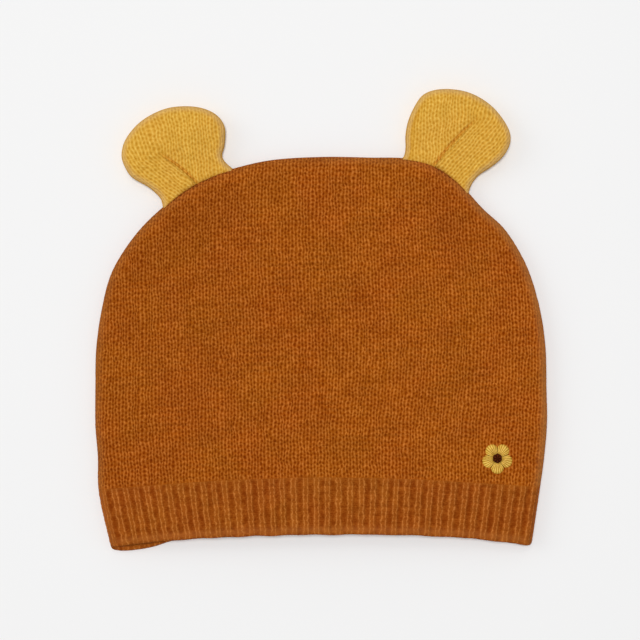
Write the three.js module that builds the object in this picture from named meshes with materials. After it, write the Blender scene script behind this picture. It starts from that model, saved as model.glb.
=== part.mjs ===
// Knitted baby hat with two ears, lying flat on its back.
// Millimetres: x runs across the hat, y from the hem up to the ears, z up from the surface it lies on.
import * as THREE from 'three';
import { mergeVertices } from 'three/addons/utils/BufferGeometryUtils.js';

// Crown: the widest width and the height above the rib, measured flat.
const hatWidth = 180;
const crownHeight = 127.4;
const knitWall = 2.2;

// Ribbed band: height, width along the hem, wall, spacing and depth of the ribs.
const ribHeight = 23;
const hemWidth = 167.4;
const ribWall = 3;
const ribPitch = 4.27;
const ribDepth = 0.8;
const hemRound = 1.3;
const hemTuck = 0.9;
const hemSag = 6.4;

// How the hat lies: round of its folded edges, rise of the front over the hollow, and its dents.
const edgeRadius = 3.3;
const frontLoft = 5.6;
const loftRun = 70;
const dentDepth = 1.4;
const seamGap = 0.3;

// Ears: widest width, reach from the crown's edge, round of the edge, fullness and height of the pleat.
const earWidth = 40;
const earReach = 35.4;
const earEdge = 2.3;
const earLoft = 1.5;
const pleatRise = 2.1;
const pleatRun = 9;
const earSeamStep = 0.5;

// Embroidered flower on the front, set in from the hat's right edge and up from the rib.
const flowerWidth = 12.6;
const flowerEye = 3.8;
const flowerRise = 1.1;
const flowerInset = 20.7;
const flowerUp = 7.8;

// Left and right edges of the crown: shares of its height, and of half the hat's width.
const crownSides = [
  { up: 0.061, left: 0.989, right: 0.988 },
  { up: 0.16, left: 1.0, right: 1.0 },
  { up: 0.28, left: 1.0, right: 0.998 },
  { up: 0.4, left: 0.996, right: 0.994 },
  { up: 0.513, left: 0.974, right: 0.972 },
  { up: 0.626, left: 0.934, right: 0.928 },
  { up: 0.702, left: 0.877, right: 0.879 },
  { up: 0.777, left: 0.797, right: 0.808 },
  { up: 0.838, left: 0.708, right: 0.716 },
];

// Top edge of the crown between its shoulders, in the same shares.
const crownTop = [
  { across: -0.6, up: 0.898 },
  { across: -0.48, up: 0.942 },
  { across: -0.36, up: 0.969 },
  { across: -0.22, up: 0.99 },
  { across: 0, up: 1.0 },
  { across: 0.22, up: 0.998 },
  { across: 0.38, up: 0.995 },
  { across: 0.5, up: 0.973 },
  { across: 0.6, up: 0.926 },
];

// Ends of the seam between crown and rib, in shares of half the hat's width.
const ribCorner = { left: 0.986, right: 0.97 };

// How far the rib's top and the front and back hems hang below their middle, in shares of hemSag.
const bandLines = [
  { across: -1, ribTop: 0.84, front: 0.95, back: 0.95 },
  { across: -0.8, ribTop: 0.6, front: 0.62, back: 0.98 },
  { across: -0.66, ribTop: 0.42, front: 0.38, back: 0.54 },
  { across: -0.41, ribTop: 0.17, front: 0.15, back: 0.24 },
  { across: 0, ribTop: 0, front: 0, back: 0.08 },
  { across: 0.41, ribTop: 0.12, front: 0.06, back: 0.14 },
  { across: 0.66, ribTop: 0.34, front: 0.28, back: 0.36 },
  { across: 0.8, ribTop: 0.48, front: 0.52, back: 0.6 },
  { across: 1, ribTop: 0.69, front: 0.9, back: 0.9 },
];

// Soft dents of the front: middle and half size in shares of half the width and of the crown's height.
const dents = [
  { across: -0.57, up: 0.77, long: 0.28, wide: 0.075, turn: 0.62, depth: 1 },
  { across: 0.6, up: 0.79, long: 0.22, wide: 0.07, turn: -0.95, depth: 0.8 },
  { across: 0.05, up: 0.55, long: 0.16, wide: 0.08, turn: 1.35, depth: 0.45 },
  { across: -0.47, up: 0.45, long: 0.14, wide: 0.1, turn: -0.5, depth: 0.4 },
  { across: 0.12, up: 0.09, long: 0.2, wide: 0.05, turn: -0.35, depth: 0.4 },
  { across: 0.62, up: 0.3, long: 0.25, wide: 0.07, turn: 1.75, depth: 0.4 },
];

// Ear outlines from the crown's edge to the tip: shares of the reach and of half the ear's width.
const earLies = [
  {
    name: 'ear_left',
    seamFrom: -0.7,
    seamTo: -0.37,
    flapSide: -1,
    pleat: { fromAcross: 0, toOut: 0.52, toAcross: -0.4 },
    sides: [
      { out: 0.1, left: 0.8, right: 0.69 },
      { out: 0.2, left: 0.84, right: 0.75 },
      { out: 0.36, left: 1.0, right: 0.93 },
      { out: 0.53, left: 1.11, right: 0.985 },
      { out: 0.7, left: 1.055, right: 0.85 },
      { out: 0.83, left: 0.93, right: 0.63 },
    ],
    tip: [
      { across: -0.72, out: 0.915 },
      { across: -0.3, out: 0.98 },
      { across: 0.12, out: 0.965 },
    ],
  },
  {
    name: 'ear_right',
    seamFrom: 0.363,
    seamTo: 0.652,
    flapSide: 1,
    pleat: { fromAcross: -0.13, toOut: 0.74, toAcross: 0.2 },
    sides: [
      { out: 0.1, left: 0.77, right: 0.72 },
      { out: 0.22, left: 0.885, right: 0.77 },
      { out: 0.38, left: 0.975, right: 0.905 },
      { out: 0.56, left: 1.005, right: 1.005 },
      { out: 0.72, left: 0.95, right: 0.975 },
      { out: 0.84, left: 0.755, right: 0.83 },
    ],
    tip: [
      { across: -0.42, out: 0.955 },
      { across: 0, out: 1.0 },
      { across: 0.46, out: 0.955 },
    ],
  },
];

// Cross-sections of the flower's petal ring, eye to rim, and of its eye, in shares of width and rise.
const petalSection = [
  { out: 0, rise: 0 },
  { out: 1, rise: 0 },
  { out: 1, rise: 0.35 },
  { out: 0.5, rise: 1 },
  { out: 0, rise: 0.6 },
  { out: 0, rise: 0 },
];
const eyeSection = [
  { out: 0, rise: 0 },
  { out: 1, rise: 0 },
  { out: 0.92, rise: 0.7 },
  { out: 0.5, rise: 1.15 },
  { out: 0, rise: 1.25 },
];
const petalNotch = 0.34;

// Fineness of the meshes.
const curveStepsPerRow = 12;
const edgeSteps = 3;
const crownGrid = { columns: 24, rows: 18 };
const backGrid = { columns: 14, rows: 10 };
const earGrid = { columns: 12, rows: 9 };
const petalCount = 5;
const stepsPerPetal = 8;
const eyeSteps = 14;

const halfWidth = hatWidth / 2;
const flowerAcross = halfWidth - flowerInset;
const seamLevel = edgeRadius + seamGap / 2;
const frontBase = seamLevel + seamGap / 2;
const backBase = seamLevel - seamGap / 2;
const ribCount = Math.round(hemWidth / ribPitch);

// Smooth value of one table column at a place along another column.
function along(table, placeColumn, valueColumn, place) {
  const last = table.length - 2;
  let row = 0;
  while (row < last && place > table[row + 1][placeColumn]) row += 1;
  const value = (i) => table[THREE.MathUtils.clamp(i, 0, last + 1)][valueColumn];
  const from = table[row][placeColumn];
  const step = table[row + 1][placeColumn] - from;
  const t = THREE.MathUtils.clamp((place - from) / step, 0, 1);
  const startSlope = (value(row + 1) - value(row - 1)) / 2;
  const endSlope = (value(row + 2) - value(row)) / 2;
  const jump = value(row + 1) - value(row);
  const cubic = startSlope + endSlope - 2 * jump;
  const square = 3 * jump - 2 * startSlope - endSlope;
  return value(row) + t * (startSlope + t * (square + t * cubic));
}

// Height of a line across the band: ribTop, front or back, at a share from -1 to 1.
function bandHeight(line, across) {
  const drop = hemSag * along(bandLines, 'across', line, across);
  return (line === 'ribTop' ? 0 : -ribHeight) - drop;
}

// Rise from 0 to 1 that is steepest at the start and level at the end.
function roundedRise(share) {
  const left = 1 - Math.min(share, 1);
  return 1 - left * left;
}

// A smooth open curve through points, with its outward side on the left of its run.
class Outline {
  constructor(points) {
    const flat = points.map(([x, y]) => new THREE.Vector3(x, y, 0));
    this.curve = new THREE.CatmullRomCurve3(flat, false, 'centripetal');
    this.curve.arcLengthDivisions = (points.length - 1) * curveStepsPerRow;
    this.lengths = this.curve.getLengths();
    this.length = this.lengths[this.lengths.length - 1];
    this.samples = this.curve.getSpacedPoints(this.lengths.length * 2);
  }

  // Share of the whole length at which the curve passes one of its points.
  shareAt(point) {
    return this.lengths[point * curveStepsPerRow] / this.length;
  }

  // Place set in from the curve, with the outward direction there.
  inset(share, distance) {
    const at = this.curve.getPointAt(share);
    const run = this.curve.getTangentAt(share);
    const outward = new THREE.Vector2(-run.y, run.x);
    return { x: at.x - outward.x * distance, y: at.y - outward.y * distance, outward };
  }

  distanceTo(x, y) {
    let nearest = Infinity;
    for (const sample of this.samples) {
      nearest = Math.min(nearest, Math.hypot(sample.x - x, sample.y - y));
    }
    return nearest;
  }
}

// A grid of plan places between four edges, each a function of a share from 0 to 1.
function fillGrid({ left, right, bottom, top, columnShare, rowShares, openTop }) {
  const corners = [left(0), right(0), left(1), right(1)];
  const columns = columnShare.count;
  return {
    openTop,
    rowShares,
    columns,
    places: rowShares.map((v) => {
      const row = [];
      for (let column = 0; column <= columns; column += 1) {
        const u = columnShare.at(column, v);
        const across = (key) => (1 - u) * left(v)[key] + u * right(v)[key];
        const upward = (key) => (1 - v) * bottom(u)[key] + v * top(u)[key];
        const twist = (key) =>
          (1 - v) * ((1 - u) * corners[0][key] + u * corners[1][key]) +
          v * ((1 - u) * corners[2][key] + u * corners[3][key]);
        const blend = (key) => across(key) + upward(key) - twist(key);
        row.push({ x: blend('x'), y: blend('y'), u, v });
      }
      row[0].outward = left(v).outward;
      row[columns].outward = right(v).outward;
      if (v === 1 && !openTop) {
        for (let column = 1; column < columns; column += 1) {
          row[column].outward = top(row[column].u).outward;
        }
      }
      return row;
    }),
  };
}

// The rolled edges of a grid, as runs of [row, column] that keep the outside on their left.
function rolledRuns({ places, columns, openTop }) {
  const lastRow = places.length - 1;
  const up = places.map((_, row) => [row, 0]);
  const down = places.map((_, row) => [lastRow - row, columns]);
  if (openTop) return [up, down];
  const over = [];
  for (let column = 1; column < columns; column += 1) over.push([lastRow, column]);
  return [[...up, ...over, ...down]];
}

// A closed mesh that is gathered from points and four-sided faces.
class Body {
  constructor() {
    this.positions = [];
    this.triangles = [];
  }

  point(x, y, z) {
    this.positions.push(x, y, z);
    return this.positions.length / 3 - 1;
  }

  quad(a, b, c, d, turned = false) {
    if (turned) this.triangles.push(a, c, b, a, d, c);
    else this.triangles.push(a, b, c, a, c, d);
  }

  strip(first, second, turned = false) {
    for (let i = 0; i + 1 < first.length; i += 1) {
      this.quad(first[i], first[i + 1], second[i + 1], second[i], turned);
    }
  }

  // One surface over the grid, with edges that roll down (side 1) or up (side -1) to the level.
  skin(grid, { radius, level, side, relief, facesDown }) {
    const net = grid.places.map((row) =>
      row.map((place) => this.point(place.x, place.y, level + side * radius + relief(place, 1))),
    );
    for (let row = 0; row + 1 < net.length; row += 1) this.strip(net[row], net[row + 1], facesDown);
    const rolls = rolledRuns(grid).map((run) => {
      const rings = [run.map(([row, column]) => net[row][column])];
      for (let step = 1; step <= edgeSteps; step += 1) {
        const angle = (Math.PI / 2) * (1 - step / edgeSteps);
        const ring = run.map(([row, column]) => {
          const place = grid.places[row][column];
          const reach = radius * Math.cos(angle);
          const x = place.x + place.outward.x * reach;
          const y = place.y + place.outward.y * reach;
          const lift = Math.sin(angle);
          return this.point(x, y, level + side * radius * lift + relief({ ...place, x, y }, lift));
        });
        this.strip(rings[step - 1], ring, facesDown);
        rings.push(ring);
      }
      return rings;
    });
    const runEnd = (rings, fromEnd) =>
      rings.map((ring) => ring[fromEnd ? ring.length - 1 : 0]).slice(1);
    const firstRun = rolls[0];
    const lastRun = rolls[rolls.length - 1];
    return {
      lips: rolls.map((rings) => rings[edgeSteps]),
      foot: [...runEnd(firstRun, false).reverse(), ...net[0], ...runEnd(lastRun, true)],
      head: [...runEnd(firstRun, true).reverse(), ...net[net.length - 1], ...runEnd(lastRun, false)],
    };
  }

  // A closed piece between an upper and a lower surface over the same grid.
  static between(grid, upper, lower) {
    const body = new Body();
    const above = body.skin(grid, { ...upper, facesDown: false });
    const below = body.skin(grid, { ...lower, facesDown: true });
    above.lips.forEach((lip, run) => body.strip(lip, below.lips[run]));
    body.strip(below.foot, above.foot);
    if (grid.openTop) body.strip(above.head, below.head);
    return body.geometry();
  }

  geometry() {
    const geometry = new THREE.BufferGeometry();
    geometry.setAttribute('position', new THREE.Float32BufferAttribute(this.positions, 3));
    geometry.setIndex(this.triangles);
    geometry.computeVertexNormals();
    return geometry;
  }
}

function evenShares(count) {
  return Array.from({ length: count + 1 }, (_, i) => i / count);
}

function evenColumns(count) {
  return { count, at: (column) => column / count };
}

// Outline of the whole hat without its ears: left hem corner, over the crown, right hem corner.
const ribTopEnd = (side, across) => [side * across * halfWidth, bandHeight('ribTop', side)];
const hemEnd = (side) => [side * (hemWidth / 2), bandHeight('front', side)];
const hatOutline = new Outline([
  hemEnd(-1),
  ribTopEnd(-1, ribCorner.left),
  ...crownSides.map(({ up, left }) => [-left * halfWidth, up * crownHeight]),
  ...crownTop.map(({ across, up }) => [across * halfWidth, up * crownHeight]),
  ...[...crownSides].reverse().map(({ up, right }) => [right * halfWidth, up * crownHeight]),
  ribTopEnd(1, ribCorner.right),
  hemEnd(1),
]);
const leftShoulderPoint = 1 + crownSides.length;
const rightShoulderPoint = leftShoulderPoint + crownTop.length + 1;
const rightRibPoint = rightShoulderPoint + crownSides.length;
const leftShoulder = hatOutline.shareAt(leftShoulderPoint);
const rightShoulder = hatOutline.shareAt(rightShoulderPoint);
const leftRibEnd = hatOutline.shareAt(1);
const rightRibEnd = hatOutline.shareAt(rightRibPoint);
const halfGapShare = seamGap / 2 / hatOutline.length;

// The part of the hat's outline from one share of its length to another, set in by the edge's round.
function hatEdge(from, to) {
  return (share) => hatOutline.inset(THREE.MathUtils.lerp(from, to, share), edgeRadius);
}

// A line across the band that ends exactly at the given places.
function bandEdge(line, shift, start, end) {
  const height = (u) => bandHeight(line, 2 * u - 1) + shift;
  const startOff = start.y - height(0);
  const endOff = end.y - height(1);
  return (u) => ({
    x: THREE.MathUtils.lerp(start.x, end.x, u),
    y: height(u) + THREE.MathUtils.lerp(startOff, endOff, u),
  });
}

function crownPlan({ columns, rows }) {
  const left = hatEdge(leftRibEnd + halfGapShare, leftShoulder);
  const right = hatEdge(rightRibEnd - halfGapShare, rightShoulder);
  return fillGrid({
    left,
    right,
    bottom: bandEdge('ribTop', seamGap / 2, left(0), right(0)),
    top: hatEdge(leftShoulder, rightShoulder),
    columnShare: evenColumns(columns),
    rowShares: evenShares(rows),
    openTop: false,
  });
}

// Each rib takes three columns: the groove before it and the two edges of its crest.
const ribColumns = [0, 0.28, 0.72];
function bandPlan(hemLine) {
  const left = hatEdge(0, leftRibEnd - halfGapShare);
  const right = hatEdge(1, rightRibEnd + halfGapShare);
  const count = ribCount * ribColumns.length;
  const hemShare = hemRound / ribHeight;
  return fillGrid({
    left,
    right,
    bottom: bandEdge(hemLine, 0, left(0), right(0)),
    top: bandEdge('ribTop', -seamGap / 2, left(1), right(1)),
    columnShare: {
      count,
      at: (column) => {
        const rib = Math.floor(column / ribColumns.length);
        return (rib + ribColumns[column % ribColumns.length]) / ribCount;
      },
    },
    rowShares: [0, hemShare, 0.5, 1],
    openTop: true,
  });
}

// Depth of the soft dents at a place on the front.
function dentAt(x, y, depthIn) {
  let depth = 0;
  for (const dent of dents) {
    const dx = x - dent.across * halfWidth;
    const dy = y - dent.up * crownHeight;
    const alongDent = dx * Math.cos(dent.turn) + dy * Math.sin(dent.turn);
    const acrossDent = dy * Math.cos(dent.turn) - dx * Math.sin(dent.turn);
    const long = alongDent / (dent.long * halfWidth);
    const wide = acrossDent / (dent.wide * crownHeight);
    depth += dent.depth * Math.exp(-long * long - wide * wide);
  }
  return dentDepth * depth * roundedRise(Math.max(depthIn - edgeRadius, 0) / (2 * edgeRadius));
}

// Height of the front above its edge's round, dents included.
function frontRelief({ x, y }) {
  const depthIn = hatOutline.distanceTo(x, y);
  return frontLoft * roundedRise(depthIn / loftRun) - dentAt(x, y, depthIn);
}

function frontSurface(x, y) {
  return frontBase + edgeRadius + frontRelief({ x, y });
}

// How far the band's surface drops at a place: into a groove, and round the hem.
function bandDrop({ u, v }, lift) {
  const place = (u * ribCount) % 1;
  const onCrest = place > ribColumns[1] / 2 && place < (1 + ribColumns[2]) / 2;
  const groove = onCrest ? 0 : ribDepth;
  return (groove + (v === 0 ? hemTuck : 0)) * lift;
}

function bandTuck({ v }, lift) {
  return v === 0 ? hemTuck * lift : 0;
}

function wall(plan, { base, side, thickness, outer, inner }) {
  const outside = { radius: edgeRadius, level: base, side, relief: outer };
  const inside = { radius: edgeRadius - thickness, level: base, side, relief: inner };
  return side > 0 ? Body.between(plan, outside, inside) : Body.between(plan, inside, outside);
}

const level = () => 0;

function crownFront() {
  return wall(crownPlan(crownGrid), {
    base: frontBase,
    side: 1,
    thickness: knitWall,
    outer: frontRelief,
    inner: frontRelief,
  });
}

function crownBack() {
  return wall(crownPlan(backGrid), {
    base: backBase,
    side: -1,
    thickness: knitWall,
    outer: level,
    inner: level,
  });
}

function ribFront() {
  return wall(bandPlan('front'), {
    base: frontBase,
    side: 1,
    thickness: ribWall,
    outer: (place, lift) => frontRelief(place) - bandDrop(place, lift),
    inner: (place, lift) => frontRelief(place) + bandTuck(place, lift),
  });
}

function ribBack() {
  return wall(bandPlan('back'), {
    base: backBase,
    side: -1,
    thickness: ribWall,
    outer: bandDrop,
    inner: (place, lift) => -bandTuck(place, lift),
  });
}

// The place on the crown's edge at a share of half the hat's width.
function crownEdgeShare(across) {
  let low = leftShoulder;
  let high = rightShoulder;
  while (high - low > 1e-6) {
    const middle = (low + high) / 2;
    if (hatOutline.curve.getPointAt(middle).x < across * halfWidth) low = middle;
    else high = middle;
  }
  return low;
}

// One ear: its base follows the crown's edge, and its own outline runs out from there.
function ear({ seamFrom, seamTo, flapSide, pleat, sides, tip }) {
  const fromShare = crownEdgeShare(seamFrom);
  const toShare = crownEdgeShare(seamTo);
  const seamEdge = (share) =>
    hatOutline.inset(THREE.MathUtils.lerp(fromShare, toShare, share), -seamGap);
  const start = new THREE.Vector2(seamEdge(0).x, seamEdge(0).y);
  const end = new THREE.Vector2(seamEdge(1).x, seamEdge(1).y);
  const middle = start.clone().add(end).multiplyScalar(0.5);
  const across = end.clone().sub(start).normalize();
  const out = new THREE.Vector2(-across.y, across.x);
  const place = (acrossShare, outShare) => [
    middle.x + (across.x * acrossShare * earWidth) / 2 + out.x * outShare * earReach,
    middle.y + (across.y * acrossShare * earWidth) / 2 + out.y * outShare * earReach,
  ];
  const outline = new Outline([
    [start.x, start.y],
    ...sides.map((row) => place(-row.left, row.out)),
    ...tip.map((row) => place(row.across, row.out)),
    ...[...sides].reverse().map((row) => place(row.right, row.out)),
    [end.x, end.y],
  ]);
  const leftTop = outline.shareAt(sides.length);
  const rightTop = outline.shareAt(sides.length + tip.length + 1);
  const edge = (from, to) => (share) =>
    outline.inset(THREE.MathUtils.lerp(from, to, share), earEdge);

  // The base keeps to the crown's edge, and the rolled sides start from it.
  const cornerShare = earEdge / start.distanceTo(end);
  const bottom = (u) => seamEdge(THREE.MathUtils.lerp(cornerShare, 1 - cornerShare, u));
  const sideFrom = (side, corner, seamPoint) => {
    const outward = seamPoint.clone().sub(new THREE.Vector2(corner.x, corner.y)).normalize();
    const first = side(0);
    return (v) => {
      const at = side(v);
      const hold = (1 - Math.min(v * 3, 1)) ** 2;
      return {
        x: at.x + (corner.x - first.x) * hold,
        y: at.y + (corner.y - first.y) * hold,
        outward: v === 0 ? outward : at.outward,
      };
    };
  };
  const left = sideFrom(edge(0, leftTop), bottom(0), start);
  const right = sideFrom(edge(1, rightTop), bottom(1), end);
  const pleatAcross = (v) =>
    THREE.MathUtils.lerp(pleat.fromAcross, pleat.toAcross, Math.min(v / pleat.toOut, 1));
  const pleatColumn = earGrid.columns / 2;
  const pleatShare = (v) => 0.5 + pleatAcross(v) / 2;
  const plan = fillGrid({
    left,
    right,
    bottom,
    top: edge(leftTop, rightTop),
    columnShare: {
      count: earGrid.columns,
      at: (column, v) => {
        const fold = pleatShare(v);
        if (column <= pleatColumn) return (fold * column) / pleatColumn;
        return fold + ((1 - fold) * (column - pleatColumn)) / (earGrid.columns - pleatColumn);
      },
    },
    rowShares: evenShares(earGrid.rows),
    openTop: false,
  });

  // The flap stands proud beside the pleat and falls away from it and towards the pleat's end.
  const flap = ({ x, y, u, v }) => {
    const beside = (u - pleatShare(v)) * flapSide * earWidth;
    if (beside <= 0) return 0;
    const fade = 1 - roundedRise(v / (pleat.toOut * 1.25));
    const depthIn = outline.distanceTo(x, y);
    return pleatRise * fade * Math.exp(-beside / pleatRun) * roundedRise(depthIn / (3 * earEdge));
  };
  const fullness = ({ x, y }) => earLoft * roundedRise(outline.distanceTo(x, y) / (earWidth / 2));
  const underside = seamLevel - earSeamStep / 2 - earEdge;
  return Body.between(
    plan,
    {
      radius: earEdge,
      level: seamLevel + earSeamStep / 2,
      side: 1,
      relief: (at) => fullness(at) + flap(at),
    },
    {
      radius: earEdge,
      level: seamLevel - earSeamStep / 2,
      side: -1,
      relief: (at, lift) => -underside * lift * roundedRise(at.v * 2),
    },
  );
}

// Turned shape on the front: its radius grows and shrinks with the lobes, and it follows the surface.
function onFront(turned, lobe) {
  turned.rotateX(Math.PI / 2);
  const position = turned.getAttribute('position');
  for (let i = 0; i < position.count; i += 1) {
    const angle = Math.atan2(position.getY(i), position.getX(i));
    const size = lobe(angle, Math.hypot(position.getX(i), position.getY(i)));
    const x = flowerAcross + position.getX(i) * size;
    const y = flowerUp + position.getY(i) * size;
    position.setXYZ(i, x, y, frontSurface(x, y) + seamGap + position.getZ(i));
  }
  turned.deleteAttribute('normal');
  turned.deleteAttribute('uv');
  const joined = mergeVertices(turned, 1e-4);
  joined.computeVertexNormals();
  return joined;
}

function turnedRing(section, inner, outer, steps) {
  const profile = section.map(
    ({ out, rise }) => new THREE.Vector2(THREE.MathUtils.lerp(inner, outer, out), rise * flowerRise),
  );
  return new THREE.LatheGeometry(profile, steps);
}

// Five rounded petals round the eye, in one stitched ring.
function flowerPetals() {
  const inner = flowerEye / 2 + seamGap;
  const outer = flowerWidth / 2;
  const ring = turnedRing(petalSection, inner, outer, petalCount * stepsPerPetal);
  return onFront(ring, (angle, radius) => {
    const lobe = Math.sqrt(Math.abs(Math.cos((petalCount * angle) / 2)));
    const notch = 1 - petalNotch * (1 - lobe);
    return THREE.MathUtils.lerp(1, notch, (radius - inner) / (outer - inner));
  });
}

// The eye is a low round button of thread.
function flowerCentre() {
  return onFront(turnedRing(eyeSection, 0, flowerEye / 2, eyeSteps), () => 1);
}

function knitMaterial(color) {
  return new THREE.MeshStandardMaterial({ color, roughness: 0.92, metalness: 0 });
}

function piece(name, geometry, color) {
  const mesh = new THREE.Mesh(geometry, knitMaterial(color));
  mesh.name = name;
  return mesh;
}

const rust = 0x9c5115;
const rustRib = 0x975018;
const honey = 0xd3a046;
const yellow = 0xd7aa41;
const darkBrown = 0x3c1405;

const hat = new THREE.Group();
hat.add(piece('crown_front', crownFront(), rust));
hat.add(piece('crown_back', crownBack(), rust));
hat.add(piece('rib_front', ribFront(), rustRib));
hat.add(piece('rib_back', ribBack(), rustRib));
for (const lie of earLies) hat.add(piece(lie.name, ear(lie), honey));
hat.add(piece('flower_petals', flowerPetals(), yellow));
hat.add(piece('flower_centre', flowerCentre(), darkBrown));

// The origin is under the middle of the hat's box, on the surface.
const box = new THREE.Box3().setFromObject(hat);
const boxMiddle = box.getCenter(new THREE.Vector3());
hat.position.set(-boxMiddle.x, -boxMiddle.y, -box.min.z);

export default hat;
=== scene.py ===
"""Knitted baby hat with two ears, lying flat on its back: the dressed model.

Every length is in metres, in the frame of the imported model. The outer skins of the panels are
knitted in the mesh: a grid has a few vertices for each stitch, which are pulled to the legs, the
arch and the gaps of that stitch, and the grid then wraps round the hat's rolled edge.
"""
import logging
import math
from dataclasses import dataclass, field
from enum import Enum

import bpy
import numpy as np
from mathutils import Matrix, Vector


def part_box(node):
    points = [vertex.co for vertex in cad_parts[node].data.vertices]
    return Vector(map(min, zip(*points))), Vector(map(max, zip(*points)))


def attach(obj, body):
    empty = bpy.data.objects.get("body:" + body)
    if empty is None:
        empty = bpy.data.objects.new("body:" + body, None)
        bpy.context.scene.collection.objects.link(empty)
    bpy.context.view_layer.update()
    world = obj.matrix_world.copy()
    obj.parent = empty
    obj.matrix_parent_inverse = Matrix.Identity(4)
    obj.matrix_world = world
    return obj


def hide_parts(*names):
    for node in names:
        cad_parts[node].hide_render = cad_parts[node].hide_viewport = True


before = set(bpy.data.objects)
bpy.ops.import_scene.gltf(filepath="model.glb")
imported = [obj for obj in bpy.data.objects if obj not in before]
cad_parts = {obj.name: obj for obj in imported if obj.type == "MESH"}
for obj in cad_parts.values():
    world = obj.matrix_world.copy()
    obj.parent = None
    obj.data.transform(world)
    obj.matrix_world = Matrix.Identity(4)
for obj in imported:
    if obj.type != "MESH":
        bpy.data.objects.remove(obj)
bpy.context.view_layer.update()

MM = 0.001

Array = np.ndarray
Socket = bpy.types.NodeSocket
Pair = tuple[float, float]
Row = tuple[float, ...]
Colour = tuple[float, float, float, float]

logging.basicConfig(level=logging.INFO, format="%(message)s")
log = logging.getLogger("hat")


class Side(Enum):
    """Which way a panel's outer surface faces."""

    FRONT = 1
    BACK = -1


# ---------------------------------------------------------------- tables, in shares

# Left and right edges of the crown: shares of its height, and of half the hat's width.
CROWN_SIDES = (
    (0.061, 0.989, 0.988),
    (0.16, 1.0, 1.0),
    (0.28, 1.0, 0.998),
    (0.4, 0.996, 0.994),
    (0.513, 0.974, 0.972),
    (0.626, 0.934, 0.928),
    (0.702, 0.877, 0.879),
    (0.777, 0.797, 0.808),
    (0.838, 0.708, 0.716),
)
# Top edge of the crown: share of half the width, share of the height.
CROWN_TOP = (
    (-0.6, 0.898),
    (-0.48, 0.942),
    (-0.36, 0.969),
    (-0.22, 0.99),
    (0.0, 1.0),
    (0.22, 0.998),
    (0.38, 0.995),
    (0.5, 0.973),
    (0.6, 0.926),
)
RIB_CORNER = (0.986, 0.97)
# Across, rib's top line, front hem and back hem, in shares of the hem's sag.
BAND_LINES = np.array((
    (-1.0, 0.84, 0.98, 1.12),
    (-0.8, 0.6, 0.62, 1.08),
    (-0.66, 0.42, 0.38, 0.54),
    (-0.41, 0.17, 0.15, 0.24),
    (0.0, 0.0, 0.0, 0.08),
    (0.41, 0.12, 0.06, 0.14),
    (0.66, 0.34, 0.28, 0.36),
    (0.8, 0.48, 0.52, 0.6),
    (1.0, 0.69, 0.9, 0.9),
))
# Soft dents: across, up, half length, half width, turn and share of the depth.
DENTS = (
    (-0.57, 0.77, 0.28, 0.075, 0.62, 1.0),
    (0.6, 0.79, 0.22, 0.07, -0.95, 0.6),
    (0.05, 0.55, 0.16, 0.08, 1.35, 0.45),
    (-0.47, 0.45, 0.14, 0.1, -0.5, 0.4),
    (0.12, 0.09, 0.2, 0.05, -0.35, 0.4),
    (0.62, 0.3, 0.25, 0.07, 1.75, 0.4),
)


# ---------------------------------------------------------------- small helpers


def ease(value: Array, low: float, high: float) -> Array:
    """Smooth step from 0 at low to 1 at high.

    Args:
        value: Numbers to map.
        low: Where the step starts.
        high: Where the step ends.

    Returns:
        The eased numbers, from 0 to 1.
    """
    t = np.clip((value - low) / (high - low), 0.0, 1.0)
    return t * t * (3.0 - 2.0 * t)


def bell(value: Array, middle: float, width: float) -> Array:
    """Bell curve of height 1 about a middle."""
    return np.exp(-((value - middle) / width) ** 2)


def rounded_rise(share: Array) -> Array:
    """Rise from 0 to 1 that is steepest at the start and level at the end."""
    return 1.0 - (1.0 - np.minimum(share, 1.0)) ** 2


def smooth_table(place: Array, table: Array, column: int) -> Array:
    """Smooth value of one table column at places along the first column.

    Args:
        place: Places along the first column.
        table: Rows of numbers, sorted by the first column.
        column: The column to read.

    Returns:
        The values, smooth from row to row.
    """
    last = len(table) - 2
    row = np.clip(np.searchsorted(table[:, 0], place, side="left") - 1, 0, last)
    value = table[:, column]
    before = value[np.maximum(row - 1, 0)]
    after = value[np.minimum(row + 2, last + 1)]
    start, end = value[row], value[row + 1]
    t = np.clip((place - table[row, 0]) / (table[row + 1, 0] - table[row, 0]), 0.0, 1.0)
    start_slope, end_slope = (end - before) / 2.0, (after - start) / 2.0
    jump = end - start
    cubic = start_slope + end_slope - 2.0 * jump
    square = 3.0 * jump - 2.0 * start_slope - end_slope
    return start + t * (start_slope + t * (square + t * cubic))


def smooth_noise(x: Array, y: Array, seed: int, size: float, waves: int = 7) -> Array:
    """Soft, seeded noise of a given feature size, from about -1 to 1.

    Args:
        x: Places across.
        y: Places upward.
        seed: Seed of the waves.
        size: Feature size, in the units of the places.
        waves: How many sine waves are summed.

    Returns:
        The noise at each place.
    """
    rng = np.random.default_rng(seed)
    total = np.zeros_like(x)
    for _ in range(waves):
        angle, phase = rng.uniform(0, 2 * math.pi, 2)
        stretch = rng.uniform(0.7, 1.5) * 2 * math.pi / size
        total += np.sin((x * math.cos(angle) + y * math.sin(angle)) * stretch + phase)
    return total / math.sqrt(waves)


def drift(column: Array, per: int, count: int, rng: np.random.Generator) -> Array:
    """Random sideways drift of each gap between wales, linear from gap to gap.

    Args:
        column: Columns of the vertices.
        per: Columns for each wale.
        count: How many wales there are.
        rng: The seeded source of the drift.

    Returns:
        The drift of each vertex, about 1 in size.
    """
    gaps = rng.normal(0, 1, count + 2)
    return np.interp(column / per, np.arange(count + 2), gaps)


def deselect_all() -> None:
    """Deselect every object, and leave edit mode."""
    if bpy.context.object and bpy.context.object.mode != "OBJECT":
        bpy.ops.object.mode_set(mode="OBJECT")
    bpy.ops.object.select_all(action="DESELECT")


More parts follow.
